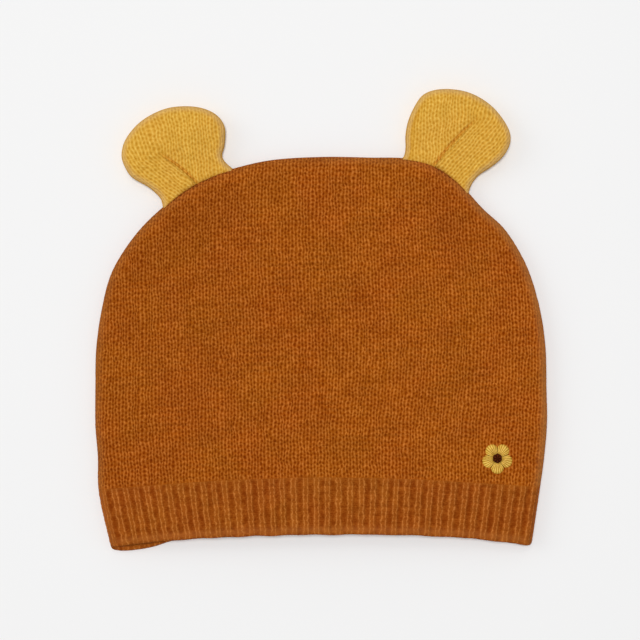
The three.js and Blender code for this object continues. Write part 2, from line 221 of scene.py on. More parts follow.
def activate(piece: bpy.types.Object) -> None:
    """Make one piece the only selected and active object."""
    deselect_all()
    piece.select_set(True)
    bpy.context.view_layer.objects.active = piece


def join(first: bpy.types.Object, *others: bpy.types.Object) -> bpy.types.Object:
    """Join pieces into the first one.

    Args:
        first: The piece that keeps its name.
        others: The pieces that go into it.

    Returns:
        The joined piece.
    """
    activate(first)
    for other in others:
        other.select_set(True)
    bpy.ops.object.join()
    return first


# ---------------------------------------------------------------- outline


class Outline:
    """A smooth open curve in plan, with its outward side on the left of its run."""

    # Places for which the nearest sample is looked up at once.
    batch = 4000

    def __init__(self, points: list[Pair], steps: int = 40, tail: float = 0.0) -> None:
        """Sample the curve.

        Args:
            points: The curve's own points.
            steps: Samples between two points.
            tail: Length of the straight ends that are added.
        """
        own = np.array(points, dtype=float)
        ends = np.vstack([2 * own[0] - own[1], own, 2 * own[-1] - own[-2]])
        share = np.linspace(0.0, 1.0, steps, endpoint=False)[:, None]
        runs = []
        for i in range(1, len(ends) - 2):
            p0, p1, p2, p3 = ends[i - 1:i + 3]
            gap = [math.sqrt(math.dist(a, b)) for a, b in ((p0, p1), (p1, p2), (p2, p3))]
            m1 = (p1 - p0) / gap[0] - (p2 - p0) / (gap[0] + gap[1]) + (p2 - p1) / gap[1]
            m2 = (p2 - p1) / gap[1] - (p3 - p1) / (gap[1] + gap[2]) + (p3 - p2) / gap[2]
            m1, m2 = m1 * gap[1], m2 * gap[1]
            square, cube = share ** 2, share ** 3
            bend = (2 * cube - 3 * square + 1) * p1 + (cube - 2 * square + share) * m1
            bend = bend + (-2 * cube + 3 * square) * p2 + (cube - square) * m2
            runs.append(bend)
        samples = np.vstack([*runs, own[-1:]])
        if tail:
            first, last = samples[0] - samples[1], samples[-1] - samples[-2]
            first, last = first / np.linalg.norm(first), last / np.linalg.norm(last)
            samples = np.vstack([samples[0] + first * tail, samples, samples[-1] + last * tail])
        self.samples = samples
        legs = np.diff(samples, axis=0)
        self.leg_length = np.linalg.norm(legs, axis=1)
        self.run = legs / self.leg_length[:, None]
        self.station = np.concatenate([[0.0], np.cumsum(self.leg_length)])
        turn = np.vstack([self.run[:1], (self.run[1:] + self.run[:-1]) / 2, self.run[-1:]])
        turn = turn / np.linalg.norm(turn, axis=1)[:, None]
        self.outward = np.stack([-turn[:, 1], turn[:, 0]], axis=1)

    def nearest(self, plan: Array) -> tuple[Array, ...]:
        """Nearest places on the curve.

        Args:
            plan: Places, one row each.

        Returns:
            Depth inside the curve (negative outside), foot, outward direction and station.
        """
        depth = np.empty(len(plan))
        foot, outward = np.empty_like(plan), np.empty_like(plan)
        station = np.empty(len(plan))
        for start in range(0, len(plan), self.batch):
            here = slice(start, start + self.batch)
            part = plan[here]
            gaps = ((part[:, None, :] - self.samples[None, :, :]) ** 2).sum(axis=2)
            near = gaps.argmin(axis=1)
            best = np.full(len(part), np.inf)
            for leg in (np.maximum(near - 1, 0), np.minimum(near, len(self.run) - 1)):
                from_start = part - self.samples[leg]
                along = (from_start * self.run[leg]).sum(axis=1)
                along = np.clip(along, 0.0, self.leg_length[leg])
                at = self.samples[leg] + self.run[leg] * along[:, None]
                gap = np.linalg.norm(part - at, axis=1)
                share = (along / self.leg_length[leg])[:, None]
                out = self.outward[leg] * (1 - share) + self.outward[leg + 1] * share
                better = gap < best
                rows = np.flatnonzero(better) + start
                best[better] = gap[better]
                foot[rows] = at[better]
                outward[rows] = out[better] / np.linalg.norm(out[better], axis=1)[:, None]
                station[rows] = self.station[leg[better]] + along[better]
            side = ((part - foot[here]) * outward[here]).sum(axis=1)
            depth[here] = -np.sign(side) * best
        return depth, foot, outward, station

    def at(self, station: Array) -> tuple[Array, Array]:
        """Places and outward directions at stations along the curve."""
        place, out = (
            np.stack([np.interp(station, self.station, curve[:, i]) for i in (0, 1)], axis=1)
            for curve in (self.samples, self.outward))
        return place, out / np.linalg.norm(out, axis=1)[:, None]


@dataclass(frozen=True)
class HatSizes:
    """Sizes of the lying hat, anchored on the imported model's boxes."""

    half_width: float = 90 * MM
    crown_height: float = 127.1 * MM
    knit_wall: float = 2.2 * MM
    rib_height: float = 22.7 * MM
    hem_width: float = 167.4 * MM
    rib_wall: float = 3.0 * MM
    hem_sag: float = 6.4 * MM
    edge_radius: float = 3.3 * MM
    front_loft: float = 5.6 * MM
    loft_run: float = 70 * MM
    dent_depth: float = 1.4 * MM
    rib_line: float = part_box("rib_front")[1][1] + 0.15 * MM
    front_level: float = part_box("crown_front")[0][2]
    back_level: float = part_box("crown_back")[1][2]

    def band_height(self, across: Array, column: int) -> Array:
        """Height of the rib's top line (column 1), the front hem (2) or the back hem (3).

        Args:
            across: Shares of half the hat's width.
            column: The column of the band's table.

        Returns:
            The line's place upward, in the part's frame.
        """
        drop = self.hem_sag * smooth_table(np.clip(across, -1, 1), BAND_LINES, column)
        return self.rib_line - (0.0 if column == 1 else self.rib_height) - drop

    def spot(self, across: float, up: float) -> Pair:
        """Plan place at shares of half the hat's width and of the crown's height."""
        return across * self.half_width, up * self.crown_height + self.rib_line

    def outline(self) -> Outline:
        """Outline of the hat without its ears, from the left hem corner over the crown."""
        left = [self.spot(-to_left, up) for up, to_left, _ in CROWN_SIDES]
        right = [self.spot(to_right, up) for up, _, to_right in CROWN_SIDES]
        top = [self.spot(across, up) for across, up in CROWN_TOP]
        ends = [float(self.band_height(np.array(side), 1)) for side in (-1.0, 1.0)]
        hems = [float(self.band_height(np.array(side), 2)) for side in (-1.0, 1.0)]
        first = [(-self.hem_width / 2, hems[0]), (-RIB_CORNER[0] * self.half_width, ends[0])]
        last = [(RIB_CORNER[1] * self.half_width, ends[1]), (self.hem_width / 2, hems[1])]
        return Outline([*first, *left, *top, *right[::-1], *last], tail=12 * MM)


@dataclass(frozen=True)
class Roll:
    """Cloth that lies inside an outline and rolls a quarter turn down round its edge."""

    depth: Array
    turn: Array
    base: Array
    lie: Array
    kept: Array

    @classmethod
    def over(cls, outline: Outline, radius: float, plan: Array, proud: Array) -> "Roll":
        """Roll cloth over an outline's edge.

        Args:
            outline: The edge.
            radius: Radius of the roll.
            plan: Places of the cloth before it rolls.
            proud: How far each place stands out of the rolled surface.

        Returns:
            Depth inside the outline before the roll, angle of the roll, plan places and
            distance from the edge after it, and a mask of the cloth that isn't past its end.
        """
        depth, foot, outward, _ = outline.nearest(plan)
        past = radius - depth
        longest = radius * math.pi / 2
        turn = np.clip(past, 0, longest) / radius
        reach = radius * np.sin(turn)
        inset = foot - outward * radius
        rolled = past > 0
        base = np.where(rolled[:, None], inset + outward * reach[:, None], plan)
        base = base + outward * (np.sin(turn) * proud)[:, None]
        return cls(depth, turn, base, np.where(rolled, radius - reach, depth), past < longest)


# ---------------------------------------------------------------- knit


@dataclass(frozen=True)
class Wobble:
    """Soft unevenness of the knitting: how much, the size of its waves, and how many waves."""

    amount: float
    size: float
    waves: int = 7

    def at(self, x: Array, y: Array, seed: int) -> Array:
        """Unevenness at places."""
        return self.amount * smooth_noise(x, y, seed, self.size, self.waves)


@dataclass(frozen=True)
class StitchShape:
    """One stocking stitch: two legs that meet under an arch, with a gap on both sides."""

    wale: float = 2.62 * MM
    course: float = 1.78 * MM
    arch_place: float = 0.92
    depth: float = 0.42 * MM
    leg_height: float = 0.32
    arch_height: float = 0.26
    foot_spread: float = 0.29
    closing: float = 0.07

    def spread(self, phase: Array) -> Array:
        """Distance of a leg from the wale's middle, in wales, at a place up the stitch."""
        return self.foot_spread - self.closing * phase ** 2

    def height(self, beside: Array, phase: Array) -> Array:
        """Height of the yarn's surface over its deepest gap, as a share from 0 to 1.

        Args:
            beside: Place across the wale, from -0.5 to 0.5.
            phase: Place up the stitch, from 0 to 1.

        Returns:
            Heights from 0, in the deepest gap, to 1, on the yarn.
        """
        legs = -np.cos(4 * math.pi * beside)
        arches = np.cos(2 * math.pi * beside) * np.cos(2 * math.pi * (phase - self.arch_place))
        return np.clip(0.5 + self.leg_height * legs + self.arch_height * arches, 0, 1)


@dataclass
class FineGrid:
    """A flat mesh grid whose vertices are addressed by column and row."""

    name: str
    columns: int
    rows: int
    merge_gap: float = 0.004 * MM
    piece: bpy.types.Object = field(init=False)
    column: Array = field(init=False)
    row: Array = field(init=False)

    def __post_init__(self) -> None:
        """Add the grid and read the column and row of each vertex."""
        deselect_all()
        bpy.ops.mesh.primitive_grid_add(
            x_subdivisions=self.columns, y_subdivisions=self.rows, size=2)
        self.piece = bpy.context.object
        self.piece.name = self.name
        self.piece.data.name = self.name
        flat = np.empty(len(self.piece.data.vertices) * 3)
        self.piece.data.vertices.foreach_get("co", flat)
        flat = flat.reshape(-1, 3)
        self.column = np.rint((flat[:, 0] + 1) / 2 * self.columns)
        self.row = np.rint((flat[:, 1] + 1) / 2 * self.rows)

    def corners(self) -> Array:
        """Vertex numbers of the faces' corners."""
        corner = np.empty(len(self.piece.data.loops), dtype=np.int32)
        self.piece.data.loops.foreach_get("vertex_index", corner)
        return corner

    def shape(self, places: Array, stitch: Array, across: Array, up: Array) -> None:
        """Move the vertices and give them their colour attribute and yarn coordinates.

        Args:
            places: New places, one row for each vertex.
            stitch: Tone, with painted shade and highlights of the relief, pale edge, a painted
                sheen, shade and smoothness, one row for each vertex.
            across: Yarn coordinate across, in wales.
            up: Yarn coordinate upward, in courses.
        """
        mesh = self.piece.data
        mesh.vertices.foreach_set("co", places.astype(np.float32).ravel())
        layer = mesh.attributes.new(name="stitch", type="FLOAT_COLOR", domain="POINT")
        channels = np.clip(stitch, 0, 1).astype(np.float32)
        layer.data.foreach_set("color", channels.ravel())
        corner = self.corners()
        uv = np.stack([across[corner], up[corner]], axis=1)
        mesh.uv_layers.active.data.foreach_set("uv", uv.astype(np.float32).ravel())
        mesh.update()

    def trim(self, keep: Array, turned: bool = False) -> None:
        """Delete the faces that have no kept vertex.

        Args:
            keep: True for each vertex that the piece needs.
            turned: True where the faces are then turned to the other side.
        """
        mesh = self.piece.data
        kept = keep[self.corners().reshape(-1, 4)].any(axis=1)
        activate(self.piece)
        mesh.vertices.foreach_set("select", np.zeros(len(mesh.vertices), dtype=bool))
        mesh.edges.foreach_set("select", np.zeros(len(mesh.edges), dtype=bool))
        mesh.polygons.foreach_set("select", ~kept)
        bpy.context.tool_settings.mesh_select_mode = (False, False, True)
        bpy.ops.object.mode_set(mode="EDIT")
        bpy.ops.mesh.delete(type="FACE")
        bpy.ops.mesh.select_all(action="SELECT")
        bpy.ops.mesh.remove_doubles(threshold=self.merge_gap)
        bpy.ops.object.mode_set(mode="OBJECT")
        if turned:
            self.turn_over()

    def turn_over(self) -> None:
        """Turn the faces to the other side."""
        activate(self.piece)
        bpy.ops.object.mode_set(mode="EDIT")
        bpy.ops.mesh.select_all(action="SELECT")
        bpy.ops.mesh.flip_normals()
        bpy.ops.object.mode_set(mode="OBJECT")


def select_open_edges() -> None:
    """Select the open edges, and nothing else, of the piece in edit mode."""
    bpy.ops.mesh.select_all(action="DESELECT")
    bpy.ops.mesh.select_non_manifold(
        extend=False, use_wire=False, use_boundary=True, use_multi_face=False,
        use_non_contiguous=False, use_verts=False)


def close_shell(outer: FineGrid, inner: FineGrid) -> bpy.types.Object:
    """Join an outer and an inner skin, and bridge their open edges.

    Args:
        outer: The fine outer skin.
        inner: The plain inner skin, facing the other way.

    Returns:
        The closed piece.
    """
    piece = join(outer.piece, inner.piece)
    bpy.context.tool_settings.mesh_select_mode = (False, True, False)
    bpy.ops.object.mode_set(mode="EDIT")
    select_open_edges()
    bpy.ops.mesh.bridge_edge_loops()
    bpy.ops.mesh.select_all(action="SELECT")
    bpy.ops.mesh.quads_convert_to_tris(quad_method="SHORTEST_DIAGONAL", ngon_method="BEAUTY")
    bpy.ops.mesh.normals_make_consistent(inside=False)
    bpy.ops.object.mode_set(mode="OBJECT")
    bpy.ops.object.shade_smooth_by_angle(angle=math.radians(72))
    return piece


def stand_for(piece: bpy.types.Object, name: str, node: str) -> bpy.types.Object:
    """Name a finished piece, and let it take the place of its plain solid.

    Args:
        piece: The finished piece.
        name: The piece's name.
        node: The plain solid that it replaces.

    Returns:
        The same piece.
    """
    piece.name = name
    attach(piece, "root")
    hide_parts(node)
    return piece


@dataclass
class Shell:
    """The curved wall of one side of the hat: it lies over the plan and rolls in at the edge."""

    sizes: HatSizes
    outline: Outline
    side: Side
    rim_lap: float = 0.13 * MM
    back_gap: float = 0.02 * MM
    # Length of the edge's quarter roll, in radii, with a hair to spare.
    roll_turn: float = 1.57

    def dent(self, plan: Array, depth: Array) -> Array:
        """Depth of the soft dents at plan places."""
        s = self.sizes
        total = np.zeros(len(plan))
        for across, up, long, wide, turn, share in DENTS:
            dx = plan[:, 0] - across * s.half_width
            dy = plan[:, 1] - s.rib_line - up * s.crown_height
            with_it = (dx * math.cos(turn) + dy * math.sin(turn)) / (long * s.half_width)
            over_it = (dy * math.cos(turn) - dx * math.sin(turn)) / (wide * s.crown_height)
            total += share * np.exp(-with_it ** 2 - over_it ** 2)
        fade = rounded_rise(np.maximum(depth - s.edge_radius, 0) / (2 * s.edge_radius))
        return s.dent_depth * total * fade

    def relief_left(self, plan: Array, start: float, end: float) -> Array:
        """Share of the knit's relief that is left where the cloth rolls down to the seam.

        Args:
            plan: Places of the cloth before it rolls round the edge.
            start: Share of the roll where the relief starts to fade.
            end: Share of the roll where it is gone.

        Returns:
            The shares, from 1 on the panel to 0 at the seam.
        """
        radius = self.sizes.edge_radius
        depth, _, _, _ = self.outline.nearest(plan)
        low, high = (share * radius * self.roll_turn for share in (start, end))
        return 1 - ease(radius - depth, low, high)

    def place(self, plan: Array, proud: Array) -> tuple[Array, Array, Array]:
        """Lay cloth over the shell.

        Args:
            plan: Places of the cloth before it rolls round the edge.
            proud: How far each place stands out of the shell's outer surface.

        Returns:
            Places in space, a mask of the cloth that the panel needs, and depth inside the
            outline.
        """
        s = self.sizes
        if self.side is Side.BACK:
            proud = np.minimum(proud, -self.back_gap)
        roll = Roll.over(self.outline, s.edge_radius, plan, proud)
        cosine = np.cos(roll.turn)
        lift = s.edge_radius * cosine
        lap = self.rim_lap * ~roll.kept
        if self.side is Side.FRONT:
            rise = s.front_loft * rounded_rise(roll.lie / s.loft_run)
            rise = rise - self.dent(plan, roll.depth)
            z = s.front_level + lift + rise - lap + cosine * proud
        else:
            z = s.back_level - lift + lap - cosine * proud
        return np.column_stack([roll.base, z]), roll.kept, roll.depth


@dataclass
class CrownPanel:
    """The front or the back panel of the crown, in stocking stitch."""

    shell: Shell
    node: str
    seed: int
    stitch: StitchShape = StitchShape()
    per_wale: int = 4
    per_course: int = 4
    seam: float = 0.006 * MM
    # Places up a stitch, and the heights of gap, left leg, centre and right leg there.
    beats: Row = (0.0, 0.3, 0.6, 0.85)
    relief: tuple[Row, ...] = (
        (0.05, 0.45, 0.38, 0.03),
        (0.85, 0.85, 0.95, 1.0),
        (0.5, 0.08, 0.15, 0.55),
        (0.85, 0.85, 0.95, 1.0),
    )
    highest_yarn: float = 1.1
    join_height: float = 0.85
    # The courses are level in the middle and drop towards the left and the right.
    level_half: float = 35 * MM
    drop_run: float = 55 * MM
    drops: Pair = (1.2 * MM, 3.2 * MM)
    foot_width: float = 0.984
    # Unevenness of the lines, of one stitch and of its height.
    lean: Wobble = Wobble(1.6 * MM, 130 * MM, 4)
    sway: Wobble = Wobble(0.2 * MM, 9 * MM)
    heave: Wobble = Wobble(0.18 * MM, 8 * MM)
    wale_drift: float = 0.06
    stitch_drift: Pair = (0.04, 0.08)
    height_drift: Pair = (0.09, 0.05)
    # Shares of the roll where the relief fades, and what the seam has instead.
    fade: Pair = (0.72, 0.98)
    seam_sink: float = 0.35
    seam_tone: float = 0.55
    # The pale rim, a painted sheen on the rolled edge: its width, its strength on the left, and
    # how it fades towards the ears, where the top lamp lights the roll.
    rim: Pair = (0.2 * MM, 4.6 * MM)
    left_rim: float = 0.5
    ear_fade: tuple[float, float, float] = (40 * MM, 60 * MM, 0.6)
    # Shade of one stitch, of soft patches and of faint courses, painted light towards the right,
    # and painted shade in the dents.
    stitch_shade: float = 0.06
    patches: Wobble = Wobble(0.05, 16 * MM)
    bands: Wobble = Wobble(0.28, 2.4 * MM)
    band_length: float = 10.0
    right_light: float = 0.25
    dent_painted_shade: float = 0.8
    join_run: float = 0.9 * MM
    join_softness: float = 0.4
    lining_grid: tuple[int, int] = (76, 56)
    lining_look: Row = (0.45, 0.1, 0.5, 0.0)

    def course_line(self, x: Array, up: Array) -> Array:
        """Height of a course across the panel.

        Args:
            x: Places across.
            up: How far the course is above the rib, along the middle.

        Returns:
            The places upward.
        """
        s = self.shell.sizes
        line = s.band_height(x / s.half_width, 1)
        steeper = np.maximum(np.abs(x) - self.level_half, 0.0) / self.drop_run
        drop = np.where(x > 0, self.drops[1], self.drops[0]) * ease(up, 5 * MM, 60 * MM)
        return line + up - drop * steeper ** 2

    def wale_line(self, across: Array, up: Array) -> Array:
        """Place across of a wale at a height above the rib."""
        s = self.shell.sizes
        sides = [(u, (left + right) / 2) for u, left, right in CROWN_SIDES[:4]]
        widths = np.array(((0.0, self.foot_width), *sides))
        share = np.interp(up / s.crown_height, widths[:, 0], widths[:, 1])
        lean = self.lean.at(across, up, self.seed + 3)
        return across * share + lean * ease(up, 0, 30 * MM)

    def outer_skin(self) -> FineGrid:
        """Knit the outer skin, stitch by stitch."""
        s, t = self.shell.sizes, self.stitch
        wales = 2 * math.ceil((s.half_width + 3 * MM) / t.wale) + 1
        courses = math.ceil((s.crown_height + 9 * MM) / t.course)
        grid = FineGrid(self.node + "_knit", wales * self.per_wale, courses * self.per_course)
        column, row = grid.column, grid.row
        slot = np.mod(column, self.per_wale).astype(int)
        beat = np.mod(row, self.per_course).astype(int)
        phase = np.array(self.beats)[beat]
        spread = t.spread(phase)
        beside = np.where(slot == 3, 0.5 + spread, slot / self.per_wale)
        beside = np.where(slot == 1, 0.5 - spread, beside)
        wale = np.floor(column / self.per_wale) - wales / 2
        course = np.floor(row / self.per_course)
        rng = np.random.default_rng(self.seed)
        by_wale = drift(column, self.per_wale, wales, rng)
        by_stitch = rng.normal(0, 1, (wales + 2, courses + 2, 3))
        own = by_stitch[(wale + wales / 2).astype(int), course.astype(int)]
        across, upward = self.stitch_drift
        lane = wale + beside + self.wale_drift * by_wale + across * own[:, 0] * (slot != 0)
        up = (course + phase + upward * own[:, 1] * (beat > 0)) * t.course
        x = self.wale_line(lane * t.wale, up)
        y = self.course_line(x, up)
        x = x + self.sway.at(x, y, self.seed + 20)
        y = y + self.heave.at(x, y, self.seed + 21) * ease(up, 0, 3 * MM)
        plan = np.column_stack([x, y])
        foot = row == 0
        plan[foot, 1] = s.band_height(x[foot] / s.half_width, 1) + self.seam
        height = self.yarn_height(slot, beat, own, rng.normal(0, 1, len(x)))
        height[foot] = self.join_height
        calm = self.shell.relief_left(plan, *self.fade)
        top = 1.0 if self.shell.side is Side.BACK else self.highest_yarn
        proud = ((height - top) * calm - self.seam_sink * (1 - calm)) * t.depth
        places, keep, depth = self.shell.place(plan, proud)
        # Tone follows the relief: painted shade in the gaps, painted highlight on the yarn.
        tone = height * calm + self.seam_tone * (1 - calm)
        from_rib = 1 - ease(up, 0, self.join_run)
        smooth = np.maximum(1 - calm, self.join_softness * from_rib)
        shade = self.shade(x, y, own[:, 0])
        # Painted shade in the soft dents.
        if self.shell.side is Side.FRONT:
            shade = shade - self.dent_painted_shade * self.shell.dent(plan, depth) / s.dent_depth
        channels = np.column_stack([tone, self.rim_sheen_mask(x, y, depth), shade, smooth])
        lane_drawn = np.floor(column / self.per_wale) + beside
        grid.shape(places, channels, lane_drawn, course + phase)
        grid.trim(keep, turned=self.shell.side is Side.BACK)
        return grid

    def yarn_height(self, slot: Array, beat: Array, own: Array, chance: Array) -> Array:
        """Uneven heights of the yarn at places in their stitches.

        Args:
            slot: Column within the wale, from the gap.
            beat: Row within the course.
            own: Random numbers of each stitch.
            chance: A random number for each place.

        Returns:
            Heights over the deepest gap, in shares of the stitch's depth.
        """
        stitch_drift, place_drift = self.height_drift
        height = np.array(self.relief)[slot, beat]
        height = height + stitch_drift * own[:, 2] * (slot != 0) + place_drift * chance
        return np.clip(height, 0, self.highest_yarn)

    def rim_sheen_mask(self, x: Array, y: Array, depth: Array) -> Array:
        """Mask of the painted sheen along the panel's rolled edge."""
        start, end, share = self.ear_fade
        rim = 1 - ease(depth, *self.rim)
        return rim * np.where(x > 0, 1.0, self.left_rim) * (1 - share * ease(y, start, end))

    def shade(self, x: Array, y: Array, chance: Array) -> Array:
        """Shade of the yarn, around 0.5, with painted light towards the right.

        Args:
            x: Places across.
            y: Places upward.
            chance: A random number for each stitch.

        Returns:
            The shades, higher where the yarn is lighter.
        """
        shade = 0.5 + self.stitch_shade * chance + self.patches.at(x, y, self.seed + 9)
        shade = shade + self.right_light * x / self.shell.sizes.half_width
        return shade + self.bands.at(x / self.band_length, y, self.seed + 30)

    def inner_skin(self) -> FineGrid:
        """Lay the plain inner skin under the outer one."""
        s, (columns, rows) = self.shell.sizes, self.lining_grid
        grid = FineGrid(self.node + "_lining", columns, rows)
        x = (grid.column / columns * 2 - 1) * (s.half_width + 2 * MM)
        up = grid.row / rows * (s.crown_height + 8 * MM)
        plan = np.column_stack([x, self.course_line(x, up)])
        plan[grid.row == 0, 1] += self.seam
        places, keep, _ = self.shell.place(plan, np.full(len(x), -s.knit_wall))
        channels = np.tile(self.lining_look, (len(x), 1))
        grid.shape(places, channels, x / self.stitch.wale, up / self.stitch.course)
        grid.trim(keep, turned=self.shell.side is Side.FRONT)
        return grid

    def build(self) -> bpy.types.Object:
        """Build the closed panel.

        Returns:
            The panel, in place of its plain solid.
        """
        piece = close_shell(self.outer_skin(), self.inner_skin())
        stand_for(piece, "knit_" + self.node, self.node)
        return piece


@dataclass
class RibBand:
    """The front or the back half of the ribbed band."""

    shell: Shell
    node: str
    seed: int
    ribs: int = 39
    course: float = 1.78 * MM
    per_course: int = 4
    hem_rows: int = 7
    groove: float = 0.58 * MM
    hem_round: float = 1.45 * MM
    lap: float = 0.25 * MM
    # Places across a rib from groove to groove, the heights there, and what each of a course's
    # rows adds to them.
    columns: Row = (0.0, 0.12, 0.22, 0.31, 0.5, 0.69, 0.78, 0.88)
    crest: Row = (0.02, 0.1, 0.3, 1.0, 0.4, 1.0, 0.3, 0.1)
    beads: tuple[Row, ...] = (
        (-0.05, 0.0, 0.16, 0.0),
        (-0.05, 0.0, 0.16, 0.0),
        (0.0, 0.0, 0.0, 0.0),
        (-0.16, 0.0, 0.04, 0.0),
        (0.0, -0.15, 0.0, 0.22),
        (-0.16, 0.0, 0.04, 0.0),
        (0.0, 0.0, 0.0, 0.0),
        (-0.05, 0.0, 0.16, 0.0),
    )
    highest_yarn: float = 1.1
    front_top: float = 1.06
    # Slant of a rib's two legs up a course, and unevenness of the ribs and their heights.
    leg_slots: tuple[int, int] = (3, 5)
    leg_slant: Pair = (0.02, -0.05)
    rib_drift: float = 0.05
    crowding: float = 0.022
    height_drift: Pair = (0.07, 0.05)
    hem_waver: Wobble = Wobble(0.12 * MM, 9.0)
    waver_length: float = 80.0
    # Level, swing and unevenness of the cast-on beads, and where the ribs give way to them.
    hem_beads: tuple[float, float, float] = (0.62, 0.22, 0.1)
    hem_run: Pair = (0.4 * MM, 1.8 * MM)
    # The join with the crown.
    join_height: float = 0.8
    join_run: Pair = (-0.3 * MM, 1.3 * MM)
    join_tuck: float = 0.2
    join_softness: float = 0.55
    soft_run: float = 1.9 * MM
    # Shares of the roll where the relief fades, and what the seam has instead.
    fade: Pair = (0.75, 0.99)
    seam_sink: float = 0.3
    seam_tone: float = 0.5
    # Tone in a groove, a painted shade, and its gain up a rib towards a painted highlight, and how
    # much darker the hem's last strip is.
    tones: Pair = (0.27, 0.68)
    hem_dark: float = 0.16
    dark_run: Pair = (0.2 * MM, 1.4 * MM)
    # The painted shade in a recessed strip along the right side and the painted sheen along the
    # hem's roll: middle and width.
    strip: Pair = (1.5 * MM, 0.9 * MM)
    strip_end: float = 0.96
    strip_dark: float = 0.6
    hem_sheen: Pair = (2.0 * MM, 1.3 * MM)
    pale: float = 0.8
    rim: Pair = (0.2 * MM, 4.2 * MM)
    rib_shade: float = 0.13
    patches: Wobble = Wobble(0.1, 14 * MM)
    # How much of the relief's pattern the hem and the ribs keep.
    clearness: Pair = (0.92, 0.08)
    lining_grid: tuple[int, int] = (80, 8)
    lining_look: Row = (0.4, 0.1, 0.5, 0.0)
    lining_lap: float = 1.03
    lining_start: float = 0.7 * MM
    lining_lift: float = 0.1 * MM

    def plan_at(self, across: Array, down: Array) -> Array:
        """Plan places on the band.

        Args:
            across: Shares from -1 to 1 between the band's two ends.
            down: Shares from 0 at the rib's top line to 1 at the hem.

        Returns:
            The plan places.
        """
        s = self.shell.sizes
        hem_column = 2 if self.shell.side is Side.FRONT else 3
        left, right = (
            np.interp(down, (0, 1), (corner * s.half_width, s.hem_width / 2))
            for corner in RIB_CORNER)
        x = np.where(across < 0, across * left, across * right)
        top = s.band_height(x / s.half_width, 1) + self.lap
        hem = s.band_height(x / s.half_width, hem_column)
        return np.column_stack([x, top + (hem - top) * down])

    def heights(self, slot: Array, beat: Array, chance: Array,
                knit: Array, bead: Array, rng: np.random.Generator) -> Array:
        """Uneven heights of the yarn, which turn into a row of beads at the hem.

        Args:
            slot: Column within the rib, from the groove.
            beat: Row within the course.
            chance: A random number for each stitch.
            knit: Share of the ribs, where the rest is the row of beads.
            bead: Place along the row of beads, two to a unit.
            rng: The seeded source of the unevenness.

        Returns:
            Heights over the grooves, in shares of their depth.
        """
        by_stitch, by_place = self.height_drift
        height = np.array(self.crest)[slot] + np.array(self.beads)[slot, beat]
        height = height + by_stitch * chance + by_place * rng.normal(0, 1, len(slot))
        height = np.clip(height, 0, self.highest_yarn)
        level, swing, uneven = self.hem_beads
        beads = level + swing * np.cos(4 * math.pi * bead) + uneven * rng.normal(0, 1, len(slot))
        return height * knit + beads * (1 - knit)

    def outer_skin(self) -> FineGrid:
        """Knit the ribs and roll the hem to the inside."""
        s, per_rib = self.shell.sizes, len(self.columns)
        ribs = self.ribs + 2
        body_rows = round(s.rib_height / self.course) * self.per_course
        grid = FineGrid(self.node + "_knit", ribs * per_rib, body_rows + self.hem_rows)
        slot = np.mod(grid.column, per_rib).astype(int)
        rib = np.floor(grid.column / per_rib)
        step = grid.rows - grid.row
        beat = np.mod(body_rows - step, self.per_course).astype(int)
        phase = np.where(step < body_rows, beat / self.per_course, 0.0)
        rng = np.random.default_rng(self.seed)
        by_rib = drift(grid.column, per_rib, ribs, rng)
        own = rng.normal(0, 1, (ribs + 2, body_rows + self.hem_rows + 2))
        course = np.floor((body_rows - step) / self.per_course).astype(int)
        chance = own[rib.astype(int), course]
        slant = np.interp(phase, (0, 1), self.leg_slant)
        left_leg, right_leg = (slot == leg for leg in self.leg_slots)
        pitch = np.array(self.columns)[slot]
        lane = rib + (pitch + np.where(left_leg, -slant, np.where(right_leg, slant, 0.0)))
        lane = (lane + self.rib_drift * by_rib - 1) / self.ribs
        across = 2 * lane - 1
        across = across - self.crowding * (1 - across ** 2)
        turn = np.maximum(step - body_rows, 0) / self.hem_rows * math.pi
        down = np.minimum(step / body_rows, 1.0) * (s.rib_height - self.hem_round) / s.rib_height
        down = down + self.hem_round * np.sin(turn) / s.rib_height
        plan = self.plan_at(across, down)
        waver = self.hem_waver.at(across * self.waver_length, across * 0, self.seed + 5)
        plan[:, 1] += waver * ease(down, 0.7, 1.0)
        to_hem = (s.rib_height * (1 - down)) * np.where(turn > math.pi / 2, 0, 1)
        from_crown = step / self.per_course * self.course
        knit = ease(to_hem, *self.hem_run)
        bead = lane * self.ribs + 0.25 * step
        height = self.heights(slot, beat, chance, knit, bead, rng)
        risen = ease(from_crown, *self.join_run)
        height = self.join_height + (height - self.join_height) * risen
        calm = self.shell.relief_left(plan, *self.fade)
        facing = np.maximum(np.cos(turn), 0)
        top = 1.0 if self.shell.side is Side.BACK else self.front_top
        tuck = np.where(step == 0, self.join_tuck, 0.0)
        proud = (height - top - tuck) * self.groove * calm * facing
        proud = proud - self.hem_round * (1 - np.cos(turn))
        proud = proud - self.seam_sink * self.groove * (1 - calm) * facing
        places, keep, depth = self.shell.place(plan, proud)
        # Painted shade in the grooves and in the recessed strip on the right; painted sheen on the
        # rim and on the hem's roll.
        low, gain = self.tones
        tone = (low + gain * np.clip(height, 0, 1)) * calm + self.seam_tone * (1 - calm)
        tone = tone - self.hem_dark * (1 - ease(to_hem, *self.dark_run))
        strip = bell(depth, *self.strip) * (plan[:, 0] > 0) * (down < self.strip_end)
        tone = tone * (1 - self.strip_dark * strip)
        edge = np.maximum(1 - ease(depth, *self.rim), self.pale * bell(to_hem, *self.hem_sheen))
        edge = edge * (1 - self.pale * strip)
        patches = self.patches.at(plan[:, 0], plan[:, 1], self.seed + 9)
        shade = 0.5 + self.rib_shade * chance + patches
        soft_top = self.join_softness * (1 - ease(from_crown, 0, self.soft_run))
        at_hem, on_ribs = self.clearness
        smooth = np.maximum(1 - calm * (at_hem + on_ribs * knit), soft_top)
        channels = np.column_stack([tone, edge, shade, smooth])
        grid.shape(places, channels, rib + pitch, -step / self.per_course)
        grid.trim(keep, turned=self.shell.side is Side.BACK)
        return grid

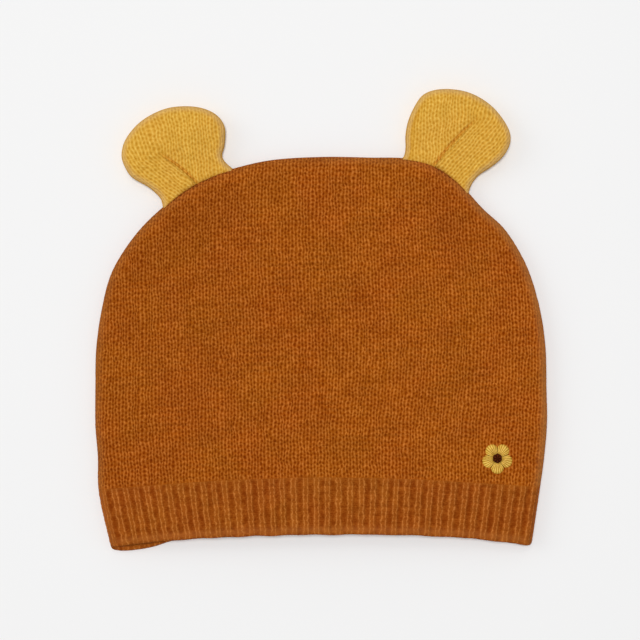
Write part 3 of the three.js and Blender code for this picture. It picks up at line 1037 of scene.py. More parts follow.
    def inner_skin(self) -> FineGrid:
        """Lay the plain inner skin from the hem's roll up to the rib's top line."""
        s, (columns, rows) = self.shell.sizes, self.lining_grid
        grid = FineGrid(self.node + "_lining", columns, rows)
        across = (grid.column / columns * 2 - 1) * self.lining_lap
        start = 1 - (self.hem_round + self.lining_start) / s.rib_height
        down = (1 - grid.row / rows) * start
        proud = np.full(len(across), -s.rib_wall + self.lining_lift)
        places, keep, _ = self.shell.place(self.plan_at(across, down), proud)
        channels = np.tile(self.lining_look, (len(across), 1))
        courses = round(s.rib_height / self.course)
        grid.shape(places, channels, across * self.ribs, down * courses)
        grid.trim(keep, turned=self.shell.side is Side.FRONT)
        return grid

    def build(self) -> bpy.types.Object:
        """Build the closed half band.

        Returns:
            The half band, in place of its plain solid.
        """
        piece = close_shell(self.outer_skin(), self.inner_skin())
        stand_for(piece, "knit_" + self.node, self.node)
        return piece


# ---------------------------------------------------------------- ears


@dataclass(frozen=True)
class EarLie:
    """How one ear is sewn on and lies: shares of its reach and of half its width."""

    node: str
    seam: Pair
    flap_side: int
    pleat: tuple[float, float, float]
    sides: tuple[tuple[float, float, float], ...]
    tip: tuple[Pair, ...]
    inner_lean: float
    flap_lean: float
    side_fold: float
    feet: Pair
    seed: int


EAR_LIES = (
    EarLie(
        node="ear_left", seam=(-0.7, -0.37), flap_side=-1, pleat=(0.0, 0.52, -0.4),
        sides=((0.03, 0.81, 0.72), (0.1, 0.81, 0.675), (0.18, 0.85, 0.67), (0.27, 0.92, 0.81),
               (0.45, 1.11, 0.99), (0.585, 1.13, 0.975), (0.7, 1.09, 0.86), (0.82, 0.925, 0.62)),
        tip=((-0.63, 0.912), (-0.3, 0.954), (0.17, 0.935)),
        inner_lean=-6.0, flap_lean=-52.0, side_fold=0.0, feet=(0.84, 0.735), seed=31,
    ),
    EarLie(
        node="ear_right", seam=(0.363, 0.652), flap_side=1, pleat=(-0.13, 0.74, 0.2),
        sides=((0.05, 0.75, 0.72), (0.12, 0.8, 0.72), (0.21, 0.89, 0.755), (0.36, 0.98, 0.9),
               (0.53, 1.01, 1.01), (0.7, 0.975, 1.0), (0.81, 0.83, 0.87)),
        tip=((-0.5, 0.922), (-0.1, 0.98), (0.4, 0.95)),
        inner_lean=2.0, flap_lean=44.0, side_fold=1.0, feet=(0.735, 0.735), seed=41,
    ),
)


@dataclass
class Ear:
    """A pleated ear of yellow knit, sewn into the crown's top seam."""

    sizes: HatSizes
    hat_outline: Outline
    lie: EarLie
    width: float = 40 * MM
    reach: float = 35.4 * MM
    edge_radius: float = 2.3 * MM
    loft: float = 1.5 * MM
    level: float = 3.7 * MM
    tip_lift: float = 3 * MM
    stitch: StitchShape = StitchShape(wale=2.44 * MM, course=1.84 * MM, depth=0.32 * MM)
    spacing: float = 0.31 * MM
    # The seam: gap to the crown, height on it, tuck under it, and where the ear is pinched flat.
    gap: float = 0.12 * MM
    seat: float = 5.7 * MM
    under_crown: float = 0.15 * MM
    past_crown: float = 0.3 * MM
    foot_length: float = 6 * MM
    pinch_run: float = 3 * MM
    lift_end: float = 24 * MM
    lowest_top: float = 3.52 * MM
    # Half the gap between the two layers, and how the rolled edges meet.
    half_gap: float = 0.25 * MM
    edge_laps: Pair = (0.45 * MM, 0.05 * MM)
    under_clearance: float = 0.5 * MM
    under_run: float = 16 * MM
    # The flap beside the fold: its rise, run and edge, the groove along it, and its end.
    flap_rise: float = 2.3 * MM
    flap_run: float = 9 * MM
    flap_edge: Pair = (-0.35 * MM, 0.45 * MM)
    flap_end: float = 1.25
    fold_bow: float = 0.9 * MM
    groove: Pair = (-0.3 * MM, 0.5 * MM)
    groove_depth: float = 1.1 * MM
    groove_end: float = 1.08
    dimple_depth: float = 0.45 * MM
    tuck_depth: float = 0.3 * MM
    side_fold_at: Pair = (2.4 * MM, 0.5 * MM)
    # The knit: unevenness across and upward, height and shade of single stitches.
    sway: Wobble = Wobble(0.1, 9 * MM)
    heave: Wobble = Wobble(0.12, 8 * MM)
    stitch_drift: float = 0.05
    stitch_shade: float = 0.12
    highest_yarn: float = 1.1
    fade: Pair = (-0.9 * MM, 0.4 * MM)
    seam_sink: float = 0.3
    # Tones of gap and yarn are painted shade and painted highlight; the rim is a painted sheen.
    tones: Pair = (0.2, 0.75)
    seam_tone: float = 0.5
    rim: Pair = (0.1 * MM, 3.2 * MM)
    # Painted shade in the crease, at its end and in the side fold, and darker tone at the crown.
    crease: Pair = (-0.1 * MM, 0.55 * MM)
    crease_dark: float = 0.85
    end_dark: float = 0.4
    side_dark: float = 1.2
    side_rim: float = 1.5
    foot_tones: Pair = (0.8, 0.2)
    # The grids: how far they reach past the sides and under the crown.
    margin: float = 4.5 * MM
    below: float = 5 * MM
    under_grid: tuple[int, int] = (60, 54)
    under_look: Row = (0.55, 0.2, 0.5, 0.0)
    chances: int = 64

    def __post_init__(self) -> None:
        """Find the seam's ends on the crown's edge, and the ear's own outline."""
        curve, s = self.hat_outline, self.sizes
        climb = (self.seat - s.front_level) / s.edge_radius
        self.seat_line = -self.under_crown - s.edge_radius * (1 - math.sqrt(1 - climb ** 2))
        upper = np.flatnonzero(curve.samples[:, 1] > s.rib_line + 0.7 * s.crown_height)
        stations = curve.station[upper]
        ends = np.interp(np.array(self.lie.seam) * s.half_width, curve.samples[upper, 0], stations)
        places, outward = curve.at(ends)
        places = places + outward * self.past_crown
        self.middle = places.mean(axis=0)
        self.across = (places[1] - places[0]) / np.linalg.norm(places[1] - places[0])
        self.out = np.array((-self.across[1], self.across[0]))
        left_foot = self.spot(-self.lie.feet[0], 0.0)
        right_foot = self.spot(self.lie.feet[1], 0.0)
        foot = self.out * self.foot_length
        points = [left_foot - foot, left_foot]
        points += [self.spot(-left, out) for out, left, _ in self.lie.sides]
        points += [self.spot(across, out) for across, out in self.lie.tip]
        points += [self.spot(right, out) for out, _, right in self.lie.sides[::-1]]
        points += [right_foot, right_foot - foot]
        self.outline = Outline([tuple(point) for point in points], tail=4 * MM)
        from_across, to_out, to_across = self.lie.pleat
        self.fold_foot = self.spot(from_across, -0.03)
        self.fold_end = self.spot(to_across, to_out)

    def spot(self, across: float, out: float) -> Array:
        """Plan place at shares of half the width and of the reach."""
        return self.middle + self.across * across * self.width / 2 + self.out * out * self.reach

    def fold_frame(self, plan: Array) -> tuple[Array, Array]:
        """Distance beside the fold, positive on the flap, and share along it from its foot."""
        run = self.fold_end - self.fold_foot
        length = np.linalg.norm(run)
        run = run / length
        away = plan - self.fold_foot
        beside = away @ np.array((run[1], -run[0])) * self.lie.flap_side
        share = away @ run / length
        return beside + self.fold_bow * np.sin(np.clip(share, 0, 1) * math.pi), share

    def fold_end_mask(self, plan: Array, size: float) -> Array:
        """Round, soft mask about the fold's end."""
        return np.exp(-((plan - self.fold_end) ** 2).sum(axis=1) / size ** 2)

    def side_fold_mask(self, plan: Array, depth: Array) -> Array:
        """Mask of the narrow fold that runs up inside the ear's inner side."""
        fold, _ = self.fold_frame(plan)
        out = (plan - self.middle) @ self.out / self.reach
        line = bell(depth, *self.side_fold_at)
        line = line * ease(-fold, 2 * MM, 4 * MM) * (1 - ease(out, 0.45, 0.75))
        return self.lie.side_fold * line

    def yarn(self, plan: Array) -> tuple[Array, Array]:
        """Wale and course coordinates, which turn round the fold's end.

        Args:
            plan: Plan places.

        Returns:
            Coordinates in wales and in courses.
        """
        away = plan - self.fold_end
        run = self.fold_end - self.fold_foot
        along = math.atan2(run[1], run[0])
        bearing = np.angle(np.exp(1j * (np.arctan2(away[:, 1], away[:, 0]) - along)))
        share = ease(-bearing * self.lie.flap_side / math.pi, -0.55, 0.75)
        turn = self.lie.flap_lean - self.lie.inner_lean
        lean = np.radians(self.lie.inner_lean + turn * share)
        wale = (away[:, 0] * np.cos(lean) - away[:, 1] * np.sin(lean)) / self.stitch.wale
        course = (away[:, 0] * np.sin(lean) + away[:, 1] * np.cos(lean)) / self.stitch.course
        return wale, course

    def top_rise(self, roll: Roll, base: Array) -> Array:
        """Rise of the upper layer over its roll: its loft, the flap, the fold and the dents.

        Args:
            roll: How the cloth rolls round the ear's edge.
            base: Plan places of the rolled cloth, outside the crown.

        Returns:
            The rise at each place.
        """
        beside, share = self.fold_frame(base)
        fade = 1 - rounded_rise(np.clip(share, 0, self.flap_end) / self.flap_end)
        flap = ease(beside, *self.flap_edge) * np.exp(-np.maximum(beside, 0) / self.flap_run)
        groove = self.groove_depth * bell(beside, *self.groove)
        groove = groove * ease(self.groove_end - share, 0, 0.3)
        calm = rounded_rise(np.maximum(roll.lie, 0) / (3 * self.edge_radius))
        dents = self.dimple_depth * self.fold_end_mask(base, 3 * MM)
        dents = dents + self.tuck_depth * self.side_fold_mask(base, roll.depth)
        rise = self.loft * rounded_rise(roll.lie / (self.width / 2))
        return rise + (self.flap_rise * fade * flap - groove) * calm - dents * calm

    def surface(self, plan: Array, proud: Array, up: bool) -> tuple[Array, ...]:
        """Lay cloth over the ear's upper or lower surface.

        Args:
            plan: Places of the cloth before it rolls round the edge.
            proud: How far each place stands out of the surface.
            up: True for the upper surface.

        Returns:
            Places in space, a mask of the cloth that the ear needs, depth inside the outline
            and distance from the seam.
        """
        roll = Roll.over(self.outline, self.edge_radius, plan, proud)
        gap = self.seat_line if up else self.gap
        into, crown_foot, crown_out, _ = self.hat_outline.nearest(roll.base)
        clear = -into - gap
        base = np.where((clear < 0)[:, None], crown_foot + crown_out * gap, roll.base)
        clear = np.maximum(clear, 0.0)
        pinch = 1 - (1 - np.minimum(clear / self.pinch_run, 1)) ** 2
        pinch = np.sqrt(np.clip(pinch, 0, 1))
        lift = self.tip_lift * ease(clear, self.pinch_run, self.lift_end)
        cosine = np.cos(roll.turn)
        top_lap, under_lap = self.edge_laps
        if up:
            height = self.edge_radius * cosine + self.top_rise(roll, base) + cosine * proud
            z = self.level + lift + self.half_gap + height - top_lap * ~roll.kept
            z = np.where(roll.kept, self.seat + (z - self.seat) * pinch, z)
            z = np.maximum(z, self.lowest_top)
        else:
            drop = self.level - self.edge_radius - self.under_clearance
            drop = drop * ease(clear, 0, self.under_run)
            height = self.edge_radius * cosine + drop * cosine + cosine * proud
            z = self.level + lift * (1 - cosine) - self.half_gap - height * pinch
            z = np.maximum(z + under_lap * ~roll.kept, 0.0)
        return np.column_stack([base, z]), roll.kept & (clear > 0), roll.depth, clear

    def plan_grid(self, grid: FineGrid) -> Array:
        """Plan places of a grid that covers the ear in its own directions."""
        a = (grid.column / grid.columns * 2 - 1) * (self.width / 2 + self.margin)
        o = -self.below + grid.row / grid.rows * (self.reach + 2 * self.margin)
        return self.middle + self.across * a[:, None] + self.out * o[:, None]

    def outer_skin(self) -> FineGrid:
        """Knit the upper skin, with wales that turn round the fold."""
        columns, rows = (
            round((size + 2 * self.margin) / self.spacing) for size in (self.width, self.reach))
        grid = FineGrid(self.lie.node + "_knit", columns, rows)
        plan = self.plan_grid(grid)
        wale, course = self.yarn(plan)
        wale = wale + self.sway.at(plan[:, 0], plan[:, 1], self.lie.seed)
        course = course + self.heave.at(plan[:, 0], plan[:, 1], self.lie.seed + 1)
        rng = np.random.default_rng(self.lie.seed)
        chance = rng.normal(0, 1, (self.chances, self.chances, 2))
        stitch = (np.mod(np.floor(n), self.chances).astype(int) for n in (wale, course))
        own = chance[tuple(stitch)]
        height = self.stitch.height(np.mod(wale, 1.0) - 0.5, np.mod(course, 1.0))
        height = np.clip(height + self.stitch_drift * own[:, 0], 0, self.highest_yarn)
        depth_now, _, _, _ = self.outline.nearest(plan)
        calm = ease(depth_now, *self.fade)
        proud = ((height - 1) * calm - self.seam_sink * (1 - calm)) * self.stitch.depth
        places, keep, depth, clear = self.surface(plan, proud, True)
        fold, share = self.fold_frame(plan)
        # Painted shade in the crease, in the dimple at its end and in the side fold; painted sheen
        # on the rim, left out in the side fold.
        crease = bell(fold, *self.crease) * ease(self.groove_end - share, 0, 0.35)
        low, gain = self.tones
        tone = (low + gain * height) * calm + self.seam_tone * (1 - calm)
        tone = tone * (1 - self.crease_dark * crease)
        tone = tone * (1 - self.end_dark * self.fold_end_mask(plan, 4 * MM))
        side_fold = self.side_fold_mask(plan, depth)
        foot, more = self.foot_tones
        tone = (tone - self.side_dark * side_fold) * (foot + more * ease(clear, 0, 1 * MM))
        edge = (1 - ease(depth, *self.rim)) * np.clip(1 - self.side_rim * side_fold, 0, 1)
        shade = 0.5 + self.stitch_shade * own[:, 1]
        grid.shape(places, np.column_stack([tone, edge, shade, 1 - calm]), wale, course)
        grid.trim(keep)
        return grid

    def under_skin(self) -> FineGrid:
        """Lay the lower skin, which rests on the surface."""
        grid = FineGrid(self.lie.node + "_under", *self.under_grid)
        plan = self.plan_grid(grid)
        places, keep, _, _ = self.surface(plan, np.zeros(len(plan)), False)
        channels = np.tile(self.under_look, (len(plan), 1))
        grid.shape(places, channels, *self.yarn(plan))
        grid.trim(keep, turned=True)
        return grid

    def build(self) -> bpy.types.Object:
        """Build the closed ear.

        Returns:
            The ear, in place of its plain solid.
        """
        piece = close_shell(self.outer_skin(), self.under_skin())
        stand_for(piece, "knit_" + self.lie.node, self.lie.node)
        return piece


# ---------------------------------------------------------------- flower


@dataclass
class Flower:
    """A small satin-stitched flower on the crown's front."""

    shell: Shell
    centre: Pair
    radius: float = 6.1 * MM
    eye: float = 1.9 * MM
    petals: int = 5
    threads: int = 7
    rise: float = 1.15 * MM
    # Rings and spokes of the petals and of the knot. The last two rings are the foot.
    petal_grid: tuple[int, int] = (18, 330)
    knot_grid: tuple[int, int] = (12, 60)
    petal_foot: Pair = (0.12 * MM, 0.25 * MM)
    knot_foot: Pair = (-0.35 * MM, 0.5 * MM)
    merge_gap: float = 0.002 * MM
    knots: int = 6
    knot_rise: float = 1.35 * MM
    # Reach and bulge of a petal: in the notch, and how much more at its tip.
    rim: Pair = (0.62, 0.38)
    bulge: Pair = (0.35, 0.65)
    roundness: float = 0.55
    hole: float = 0.8
    thread_swell: float = 0.015
    notch_flat: float = 0.3
    notch_run: Pair = (0.05, 0.42)
    notch_dark: float = 0.8
    # Tones of petals and knots: painted shade between threads and knots, painted highlight on
    # their crests and on the petals' bulge.
    petal_tones: Pair = (0.1, 0.9)
    knot_tones: Pair = (0.2, 0.7)
    knot_reach: float = 0.98
    knot_swell: float = 0.04

    def roll_up(self, name: str, size: tuple[int, int]) -> tuple[FineGrid, Array, Array]:
        """Add a grid for a disc.

        Args:
            name: The piece's first name.
            size: Rings and spokes of the disc.

        Returns:
            The grid, the angle of each vertex, and its share of the way to the rim.
        """
        rings, spokes = size
        grid = FineGrid(name, spokes, rings)
        over = np.minimum(grid.row / rings / ((rings - 2) / rings), 1.0)
        return grid, grid.column / spokes * 2 * math.pi, over

    def lay(self, grid: FineGrid, angle: Array, reach: Array, height: Array, foot: Pair) -> Array:
        """Lay a disc's places on the crown.

        Args:
            grid: The disc's grid.
            angle: Angle of each vertex, from the top.
            reach: Distance of each vertex from the flower's centre.
            height: Height of each vertex over the crown.
            foot: How far the disc, and its last ring below that, sinks in.

        Returns:
            The places, one row for each vertex.
        """
        x, y = self.centre
        plan = np.column_stack([x + reach * np.sin(angle), y + reach * np.cos(angle)])
        ground, _, _ = self.shell.place(plan, np.zeros(len(plan)))
        sink, last_ring = foot
        z = ground[:, 2] + height - sink
        last = grid.row > grid.rows - 1.5
        return np.column_stack([plan, np.where(last, z - last_ring, z)])

    def finish(self, grid: FineGrid, name: str, node: str, slot: str) -> bpy.types.Object:
        """Merge a disc's seam and its middle, and close its foot.

        Args:
            grid: The shaped grid, with its last ring as the foot.
            name: The piece's name.
            node: The plain solid that it replaces.
            slot: The record's material slot; not used.

        Returns:
            The closed piece, in place of its plain solid.
        """
        grid.turn_over()
        activate(grid.piece)
        bpy.context.tool_settings.mesh_select_mode = (True, False, False)
        bpy.ops.object.mode_set(mode="EDIT")
        bpy.ops.mesh.select_all(action="SELECT")
        bpy.ops.mesh.remove_doubles(threshold=self.merge_gap)
        select_open_edges()
        bpy.ops.mesh.edge_face_add()
        bpy.ops.mesh.select_all(action="SELECT")
        bpy.ops.mesh.quads_convert_to_tris(quad_method="BEAUTY", ngon_method="BEAUTY")
        bpy.ops.mesh.normals_make_consistent(inside=False)
        bpy.ops.object.mode_set(mode="OBJECT")
        bpy.ops.object.shade_smooth()
        return stand_for(grid.piece, name, node)

    def petal_ring(self) -> bpy.types.Object:
        """Stitch the five petals, thread beside thread."""
        grid, angle, over = self.roll_up("flower_satin", self.petal_grid)
        petal = np.mod(angle * self.petals / (2 * math.pi), 1.0)
        lobe = np.abs(np.sin(petal * math.pi)) ** 0.5
        stitchy = np.abs(np.sin(petal * math.pi * self.threads))
        notch, more = self.rim
        rim = self.radius * (notch + more * lobe) * (1 + self.thread_swell * stitchy)
        hole = self.eye * self.hole
        low, high = self.bulge
        bulge = np.sin(over * math.pi) ** self.roundness * (low + high * lobe)
        thread = (0.5 + 0.5 * stitchy) * (1 - self.notch_flat * (1 - lobe))
        places = self.lay(grid, angle, hole + (rim - hole) * over, self.rise * bulge * thread,
                          self.petal_foot)
        # Painted highlight on the threads' crests, stronger on the bulge, and painted shade
        # between the threads.
        low, gain = self.petal_tones
        tone = low + gain * stitchy * (0.5 + 0.5 * bulge)
        dark = (1 - ease(lobe, *self.notch_run)) * self.notch_dark
        channels = np.column_stack([tone * (1 - 0.5 * dark), 0 * tone, 0.5 + 0 * tone, dark])
        grid.shape(places, channels, petal * self.threads, over * 3)
        return self.finish(grid, "satin_petals", "flower_petals", "petal_thread")

    def knot(self) -> bpy.types.Object:
        """Work the dark eye as a ring of small knots."""
        grid, angle, over = self.roll_up("flower_knot", self.knot_grid)
        wave = np.cos(angle * self.knots)
        bumps = 0.5 + 0.5 * wave * np.sin(over * math.pi)
        reach = self.eye * self.knot_reach * over * (1 + self.knot_swell * wave * over)
        height = self.knot_rise * np.sqrt(np.clip(1 - over ** 2, 0, 1)) * (0.75 + 0.25 * bumps)
        places = self.lay(grid, angle, reach, height, self.knot_foot)
        flat, (low, gain) = 0 * height, self.knot_tones
        # Painted highlight on the knots' bumps, and painted shade between them.
        channels = np.column_stack([low + gain * bumps, flat, 0.5 + flat, flat])
        grid.shape(places, channels, angle * 3, over * 3)
        return self.finish(grid, "knotted_eye", "flower_centre", "centre_thread")


# ---------------------------------------------------------------- finishes


class NodeSheet:
    """Adds nodes to one tree and links them, from left to right."""

    def __init__(self, tree: bpy.types.NodeTree) -> None:
        """Keep the tree, emptied."""
        self.tree = tree
        tree.nodes.clear()
        self.step = 0

    def add(self, kind: str, **values: object) -> bpy.types.Node:
        """Add a node.

        Args:
            kind: The node's type.
            values: Properties of the node, set by name.

        Returns:
            The new node.
        """
        node = self.tree.nodes.new(kind)
        node.location = (self.step * 190, 0)
        self.step += 1
        for name, value in values.items():
            setattr(node, name, value)
        return node

    def feed(self, socket: Socket, value: object) -> None:
        """Link a socket's source, or set its plain value."""
        if isinstance(value, Socket):
            self.tree.links.new(value, socket)
        else:
            socket.default_value = value

    def fill(self, node: bpy.types.Node, **values: object) -> bpy.types.Node:
        """Feed a node's inputs, each by its name with _ for a space, and return the node."""
        for name, value in values.items():
            self.feed(node.inputs[name.replace("_", " ")], value)
        return node

    def math(self, operation: str, first: object, second: object = 0.0,
             clamp: bool = False) -> Socket:
        """Add a Math node and return its result."""
        node = self.add("ShaderNodeMath", operation=operation, use_clamp=clamp)
        self.feed(node.inputs[0], first)
        self.feed(node.inputs[1], second)
        return node.outputs[0]

    def plus(self, base: object, value: object, share: object) -> Socket:
        """Add a share of a value to a base."""
        return self.math("ADD", base, self.math("MULTIPLY", value, share))

    def swing(self, value: object, share: object) -> Socket:
        """Share of how far a value is from 0.5."""
        return self.math("MULTIPLY", self.math("SUBTRACT", value, 0.5), share)

    def span(self, value: object, low: float, high: float, to_low: float = 0.0,
             to_high: float = 1.0) -> Socket:
        """Add a smooth Map Range node and return its result."""
        node = self.add("ShaderNodeMapRange", interpolation_type="SMOOTHSTEP")
        self.fill(node, Value=value, From_Min=low, From_Max=high, To_Min=to_low, To_Max=to_high)
        return node.outputs["Result"]

    def mix(self, share: object, first: object, second: object) -> Socket:
        """Add a colour Mix node and return its result."""
        node = self.add("ShaderNodeMix", data_type="RGBA")
        for number, value in ((0, share), (6, first), (7, second)):
            self.feed(node.inputs[number], value)
        return node.outputs[2]

    def cosine(self, value: object, turns: float, start: float, size: float) -> Socket:
        """Cosine wave with a number of turns in each unit, which peaks at start."""
        angle = self.math("MULTIPLY", self.math("SUBTRACT", value, start), 2 * math.pi * turns)
        return self.math("MULTIPLY", self.math("COSINE", angle), size)

    def noise(self, vector: object, scale: float, detail: float = 2.0) -> Socket:
        """Add a Noise node and return its value."""
        node = self.add("ShaderNodeTexNoise")
        return self.fill(node, Vector=vector, Scale=scale, Detail=detail).outputs[0]


def linear(red: int, green: int, blue: int) -> Colour:
    """Linear colour of an sRGB colour given from 0 to 255."""
    channels = []
    for value in (red, green, blue):
        share = value / 255
        channels.append(share / 12.92 if share <= 0.04045 else ((share + 0.055) / 1.055) ** 2.4)
    return (*channels, 1.0)


# Inputs and outputs of the shared yarn effect. Its gap colour is painted shade in the gaps between
# strands, its light colour a painted highlight on their crests, and its edge colour a painted
# sheen along rolled edges.
YARN_COLOURS = ("Gap Shade Color", "Yarn Color", "Highlight Color", "Edge Sheen Color", "Accent Color")
YARN_NUMBERS = ("Heather", "Edge Sheen Amount", "Stitch Amount", "Rib Amount", "Stitch Depth",
                "Grain", "Ply Depth", "Fuzz Depth")
YARN_RESULTS = {"Color": "NodeSocketColor", "Roughness": "NodeSocketFloat",
                "Normal": "NodeSocketVector"}


@dataclass
class YarnEffect:
    """The shared yarn effect: yarn colour with painted shade in the gaps, painted highlights on
    the crests and a painted sheen on the edges, heather, plies and fuzz.
    """

    # Noise scales, in waves to the metre.
    fuzz_scale: float = 2600.0
    grain_scale: float = 1500.0
    heather_scale: float = 620.0
    sway_scale: float = 420.0
    heave_scale: float = 300.0
    patch_scale: float = 55.0
    # Wander of the drawn stitches, in wales and in courses.
    wander: Pair = (0.4, 0.9)
    # The stitch: level, shares of its legs and arches, the arch's place, and the painted highlight
    # on its upper part.
    strand_level: float = 0.48
    strand_shares: Pair = (0.31, 0.23)
    arch_place: float = 0.92
    strand_highlight: tuple[float, float, float] = (1.0, 0.75, 0.1)
    # The rib: place and edges of its legs, its body, and turns, start and size of its beads.
    leg_place: float = 0.19
    leg_edges: Row = (0.01, 0.085, 1.0, 0.0)
    rib_body: Row = (0.25, 0.42, 0.36, 0.17)
    rib_level: float = 0.6
    rib_beads: tuple[float, float, float] = (1.0, 0.6, 0.12)
    rib_fine: tuple[float, float, float] = (2.0, 0.1, 0.05)
    # Tones where the painted gap shade turns to the yarn's colour, and the yarn's colour to the
    # painted highlight.
    to_yarn: Pair = (0.05, 0.5)
    to_light: Pair = (0.5, 1.05)
    # Shares of heather in the tone, and of patches and shade in the lightness.
    shares: tuple[float, float, float] = (0.7, 0.35, 1.1)
    hue: Row = (0.3, 0.7, 0.498, 0.502)
    roughness: Row = (0.2, 0.8, 0.84, 0.97)
    ply: Pair = (1.7, 2.5)
    bump: float = 0.8

    def __post_init__(self) -> None:
        """Make the group, its sockets, and what all its parts read."""
        tree = bpy.data.node_groups.new("Yarn", "ShaderNodeTree")
        sockets = [(name, "INPUT", "NodeSocketColor") for name in YARN_COLOURS]
        sockets += [(name, "INPUT", "NodeSocketFloat") for name in YARN_NUMBERS]
        sockets += [(name, "OUTPUT", kind) for name, kind in YARN_RESULTS.items()]
        for name, way, kind in sockets:
            tree.interface.new_socket(name=name, in_out=way, socket_type=kind)
        self.sheet = NodeSheet(tree)
        self.given = self.sheet.add("NodeGroupInput").outputs
        self.stitch = self.sheet.add("ShaderNodeAttribute", attribute_name="stitch").outputs
        self.channels = self.sheet.fill(
            self.sheet.add("ShaderNodeSeparateColor"), Color=self.stitch["Color"]).outputs
        coordinates = self.sheet.add("ShaderNodeTexCoord").outputs
        self.place, self.uv = coordinates["Object"], coordinates["UV"]
        self.fuzz = self.sheet.noise(self.place, self.fuzz_scale, 3.0)
        self.heather = self.sheet.noise(self.place, self.heather_scale, 3.0)
        self.patch = self.sheet.noise(self.place, self.patch_scale, 3.0)

    def wandering(self) -> list[Socket]:
        """Yarn coordinates in wales and in courses, with a soft wander."""
        sheet = self.sheet
        lanes = sheet.fill(sheet.add("ShaderNodeSeparateXYZ"), Vector=self.uv).outputs
        scales = (self.sway_scale, self.heave_scale)
        return [
            sheet.math("ADD", lanes[i], sheet.swing(sheet.noise(self.place, scale), share))
            for i, (scale, share) in enumerate(zip(scales, self.wander))]

    def strand(self, across: Socket, upward: Socket) -> Socket:
        """Mask of the strands of a stocking stitch."""
        sheet = self.sheet
        legs = sheet.cosine(across, 2.0, 0.0, -1.0)
        arches = sheet.math(
            "MULTIPLY", sheet.cosine(across, 1.0, 0.5, 1.0),
            sheet.cosine(upward, 1.0, self.arch_place, 1.0))
        leg_share, arch_share = self.strand_shares
        strand = sheet.plus(sheet.math("MULTIPLY", legs, leg_share), arches, arch_share)
        # Painted highlight near the top of each stitch, where the light falls on the arch.
        strand = sheet.math("ADD", strand, sheet.cosine(upward, *self.strand_highlight))
        return sheet.math("ADD", strand, self.strand_level, clamp=True)

    def rib(self, across: Socket, upward: Socket) -> Socket:
        """Mask of a rib's two legs, its body and its beads."""
        sheet = self.sheet
        middle = sheet.math("SUBTRACT", sheet.math("FRACT", across), 0.5)
        middle = sheet.math("ABSOLUTE", middle)
        line = sheet.math("ABSOLUTE", sheet.math("SUBTRACT", middle, self.leg_place))
        line = sheet.span(line, *self.leg_edges)
        beads = sheet.math("ADD", sheet.cosine(upward, *self.rib_beads), self.rib_level)
        rib = sheet.math("MULTIPLY", line, beads)
        rib = sheet.math("ADD", rib, sheet.cosine(upward, *self.rib_fine))
        return sheet.math("ADD", sheet.span(middle, *self.rib_body), rib)

    def colour(self, strand: Socket, rib: Socket) -> Socket:
        """Colour of the yarn, with painted shade in the gaps, painted highlights on the crests and
        a painted sheen along the rims.

        Args:
            strand: Mask of the strands.
            rib: Mask of the ribs.

        Returns:
            The colour, with its heather and shade.
        """
        sheet, given = self.sheet, self.given
        tone, edge, shade = self.channels[0], self.channels[1], self.channels[2]
        heather_share, patch_share, shade_share = self.shares
        drawn = sheet.mix(given["Stitch Amount"], tone, strand)
        drawn = sheet.mix(given["Rib Amount"], drawn, rib)
        uneven = sheet.math("ADD", drawn, sheet.swing(self.heather, heather_share))
        grain = sheet.swing(sheet.noise(self.place, self.grain_scale), given["Grain"])
        uneven = sheet.math("ADD", uneven, grain)
        # Painted shade towards the gap colour, painted highlight towards the light colour, and
        # painted sheen of the edge colour on the rims.
        share = sheet.span(uneven, *self.to_yarn)
        colour = sheet.mix(share, given["Gap Shade Color"], given["Yarn Color"])
        share = sheet.span(uneven, *self.to_light)
        colour = sheet.mix(share, colour, given["Highlight Color"])
        share = sheet.math("MULTIPLY", edge, given["Edge Sheen Amount"])
        colour = sheet.mix(share, colour, given["Edge Sheen Color"])
        colour = sheet.mix(self.stitch["Alpha"], colour, given["Accent Color"])
        # The shade channel carries the crown's painted light towards the right and painted shade
        # in its dents.
        light = sheet.math("ADD", self.heather, sheet.swing(self.patch, patch_share))
        light = sheet.math("ADD", light, sheet.swing(shade, shade_share))
        light = sheet.math("ADD", sheet.swing(light, given["Heather"]), 1.0)
        hue = sheet.span(self.patch, *self.hue)
        vary = sheet.add("ShaderNodeHueSaturation")
        return sheet.fill(vary, Value=light, Hue=hue, Color=colour).outputs[0]

    def normal(self, strand: Socket) -> Socket:
        """Normal of the plies, the fuzz and the finest strands."""
        sheet, given = self.sheet, self.given
        ply = sheet.add("ShaderNodeTexWave", wave_type="BANDS", bands_direction="DIAGONAL")
        scale, distortion = self.ply
        sheet.fill(ply, Vector=self.uv, Scale=scale, Distortion=distortion)
        deep = sheet.math("MULTIPLY", ply.outputs[1], given["Ply Depth"])
        deep = sheet.plus(deep, self.fuzz, given["Fuzz Depth"])
        raised = sheet.math("MULTIPLY", strand, given["Stitch Depth"])
        bare = sheet.math("SUBTRACT", 1.0, self.stitch["Alpha"])
        bump = sheet.add("ShaderNodeBump")
        deep = sheet.plus(deep, raised, bare)
        return sheet.fill(bump, Distance=1.0, Strength=self.bump, Height=deep).outputs[0]

    def build(self) -> bpy.types.NodeTree:
        """Build the effect.

        Returns:
            The node group, with named inputs and outputs.
        """
        sheet = self.sheet
        across, upward = self.wandering()
        strand = self.strand(across, upward)
        colour = self.colour(strand, self.rib(across, upward))
        roughness = sheet.span(self.fuzz, *self.roughness)
        sheet.fill(sheet.add("NodeGroupOutput"), Color=colour, Roughness=roughness,
                   Normal=self.normal(strand))
        return sheet.tree


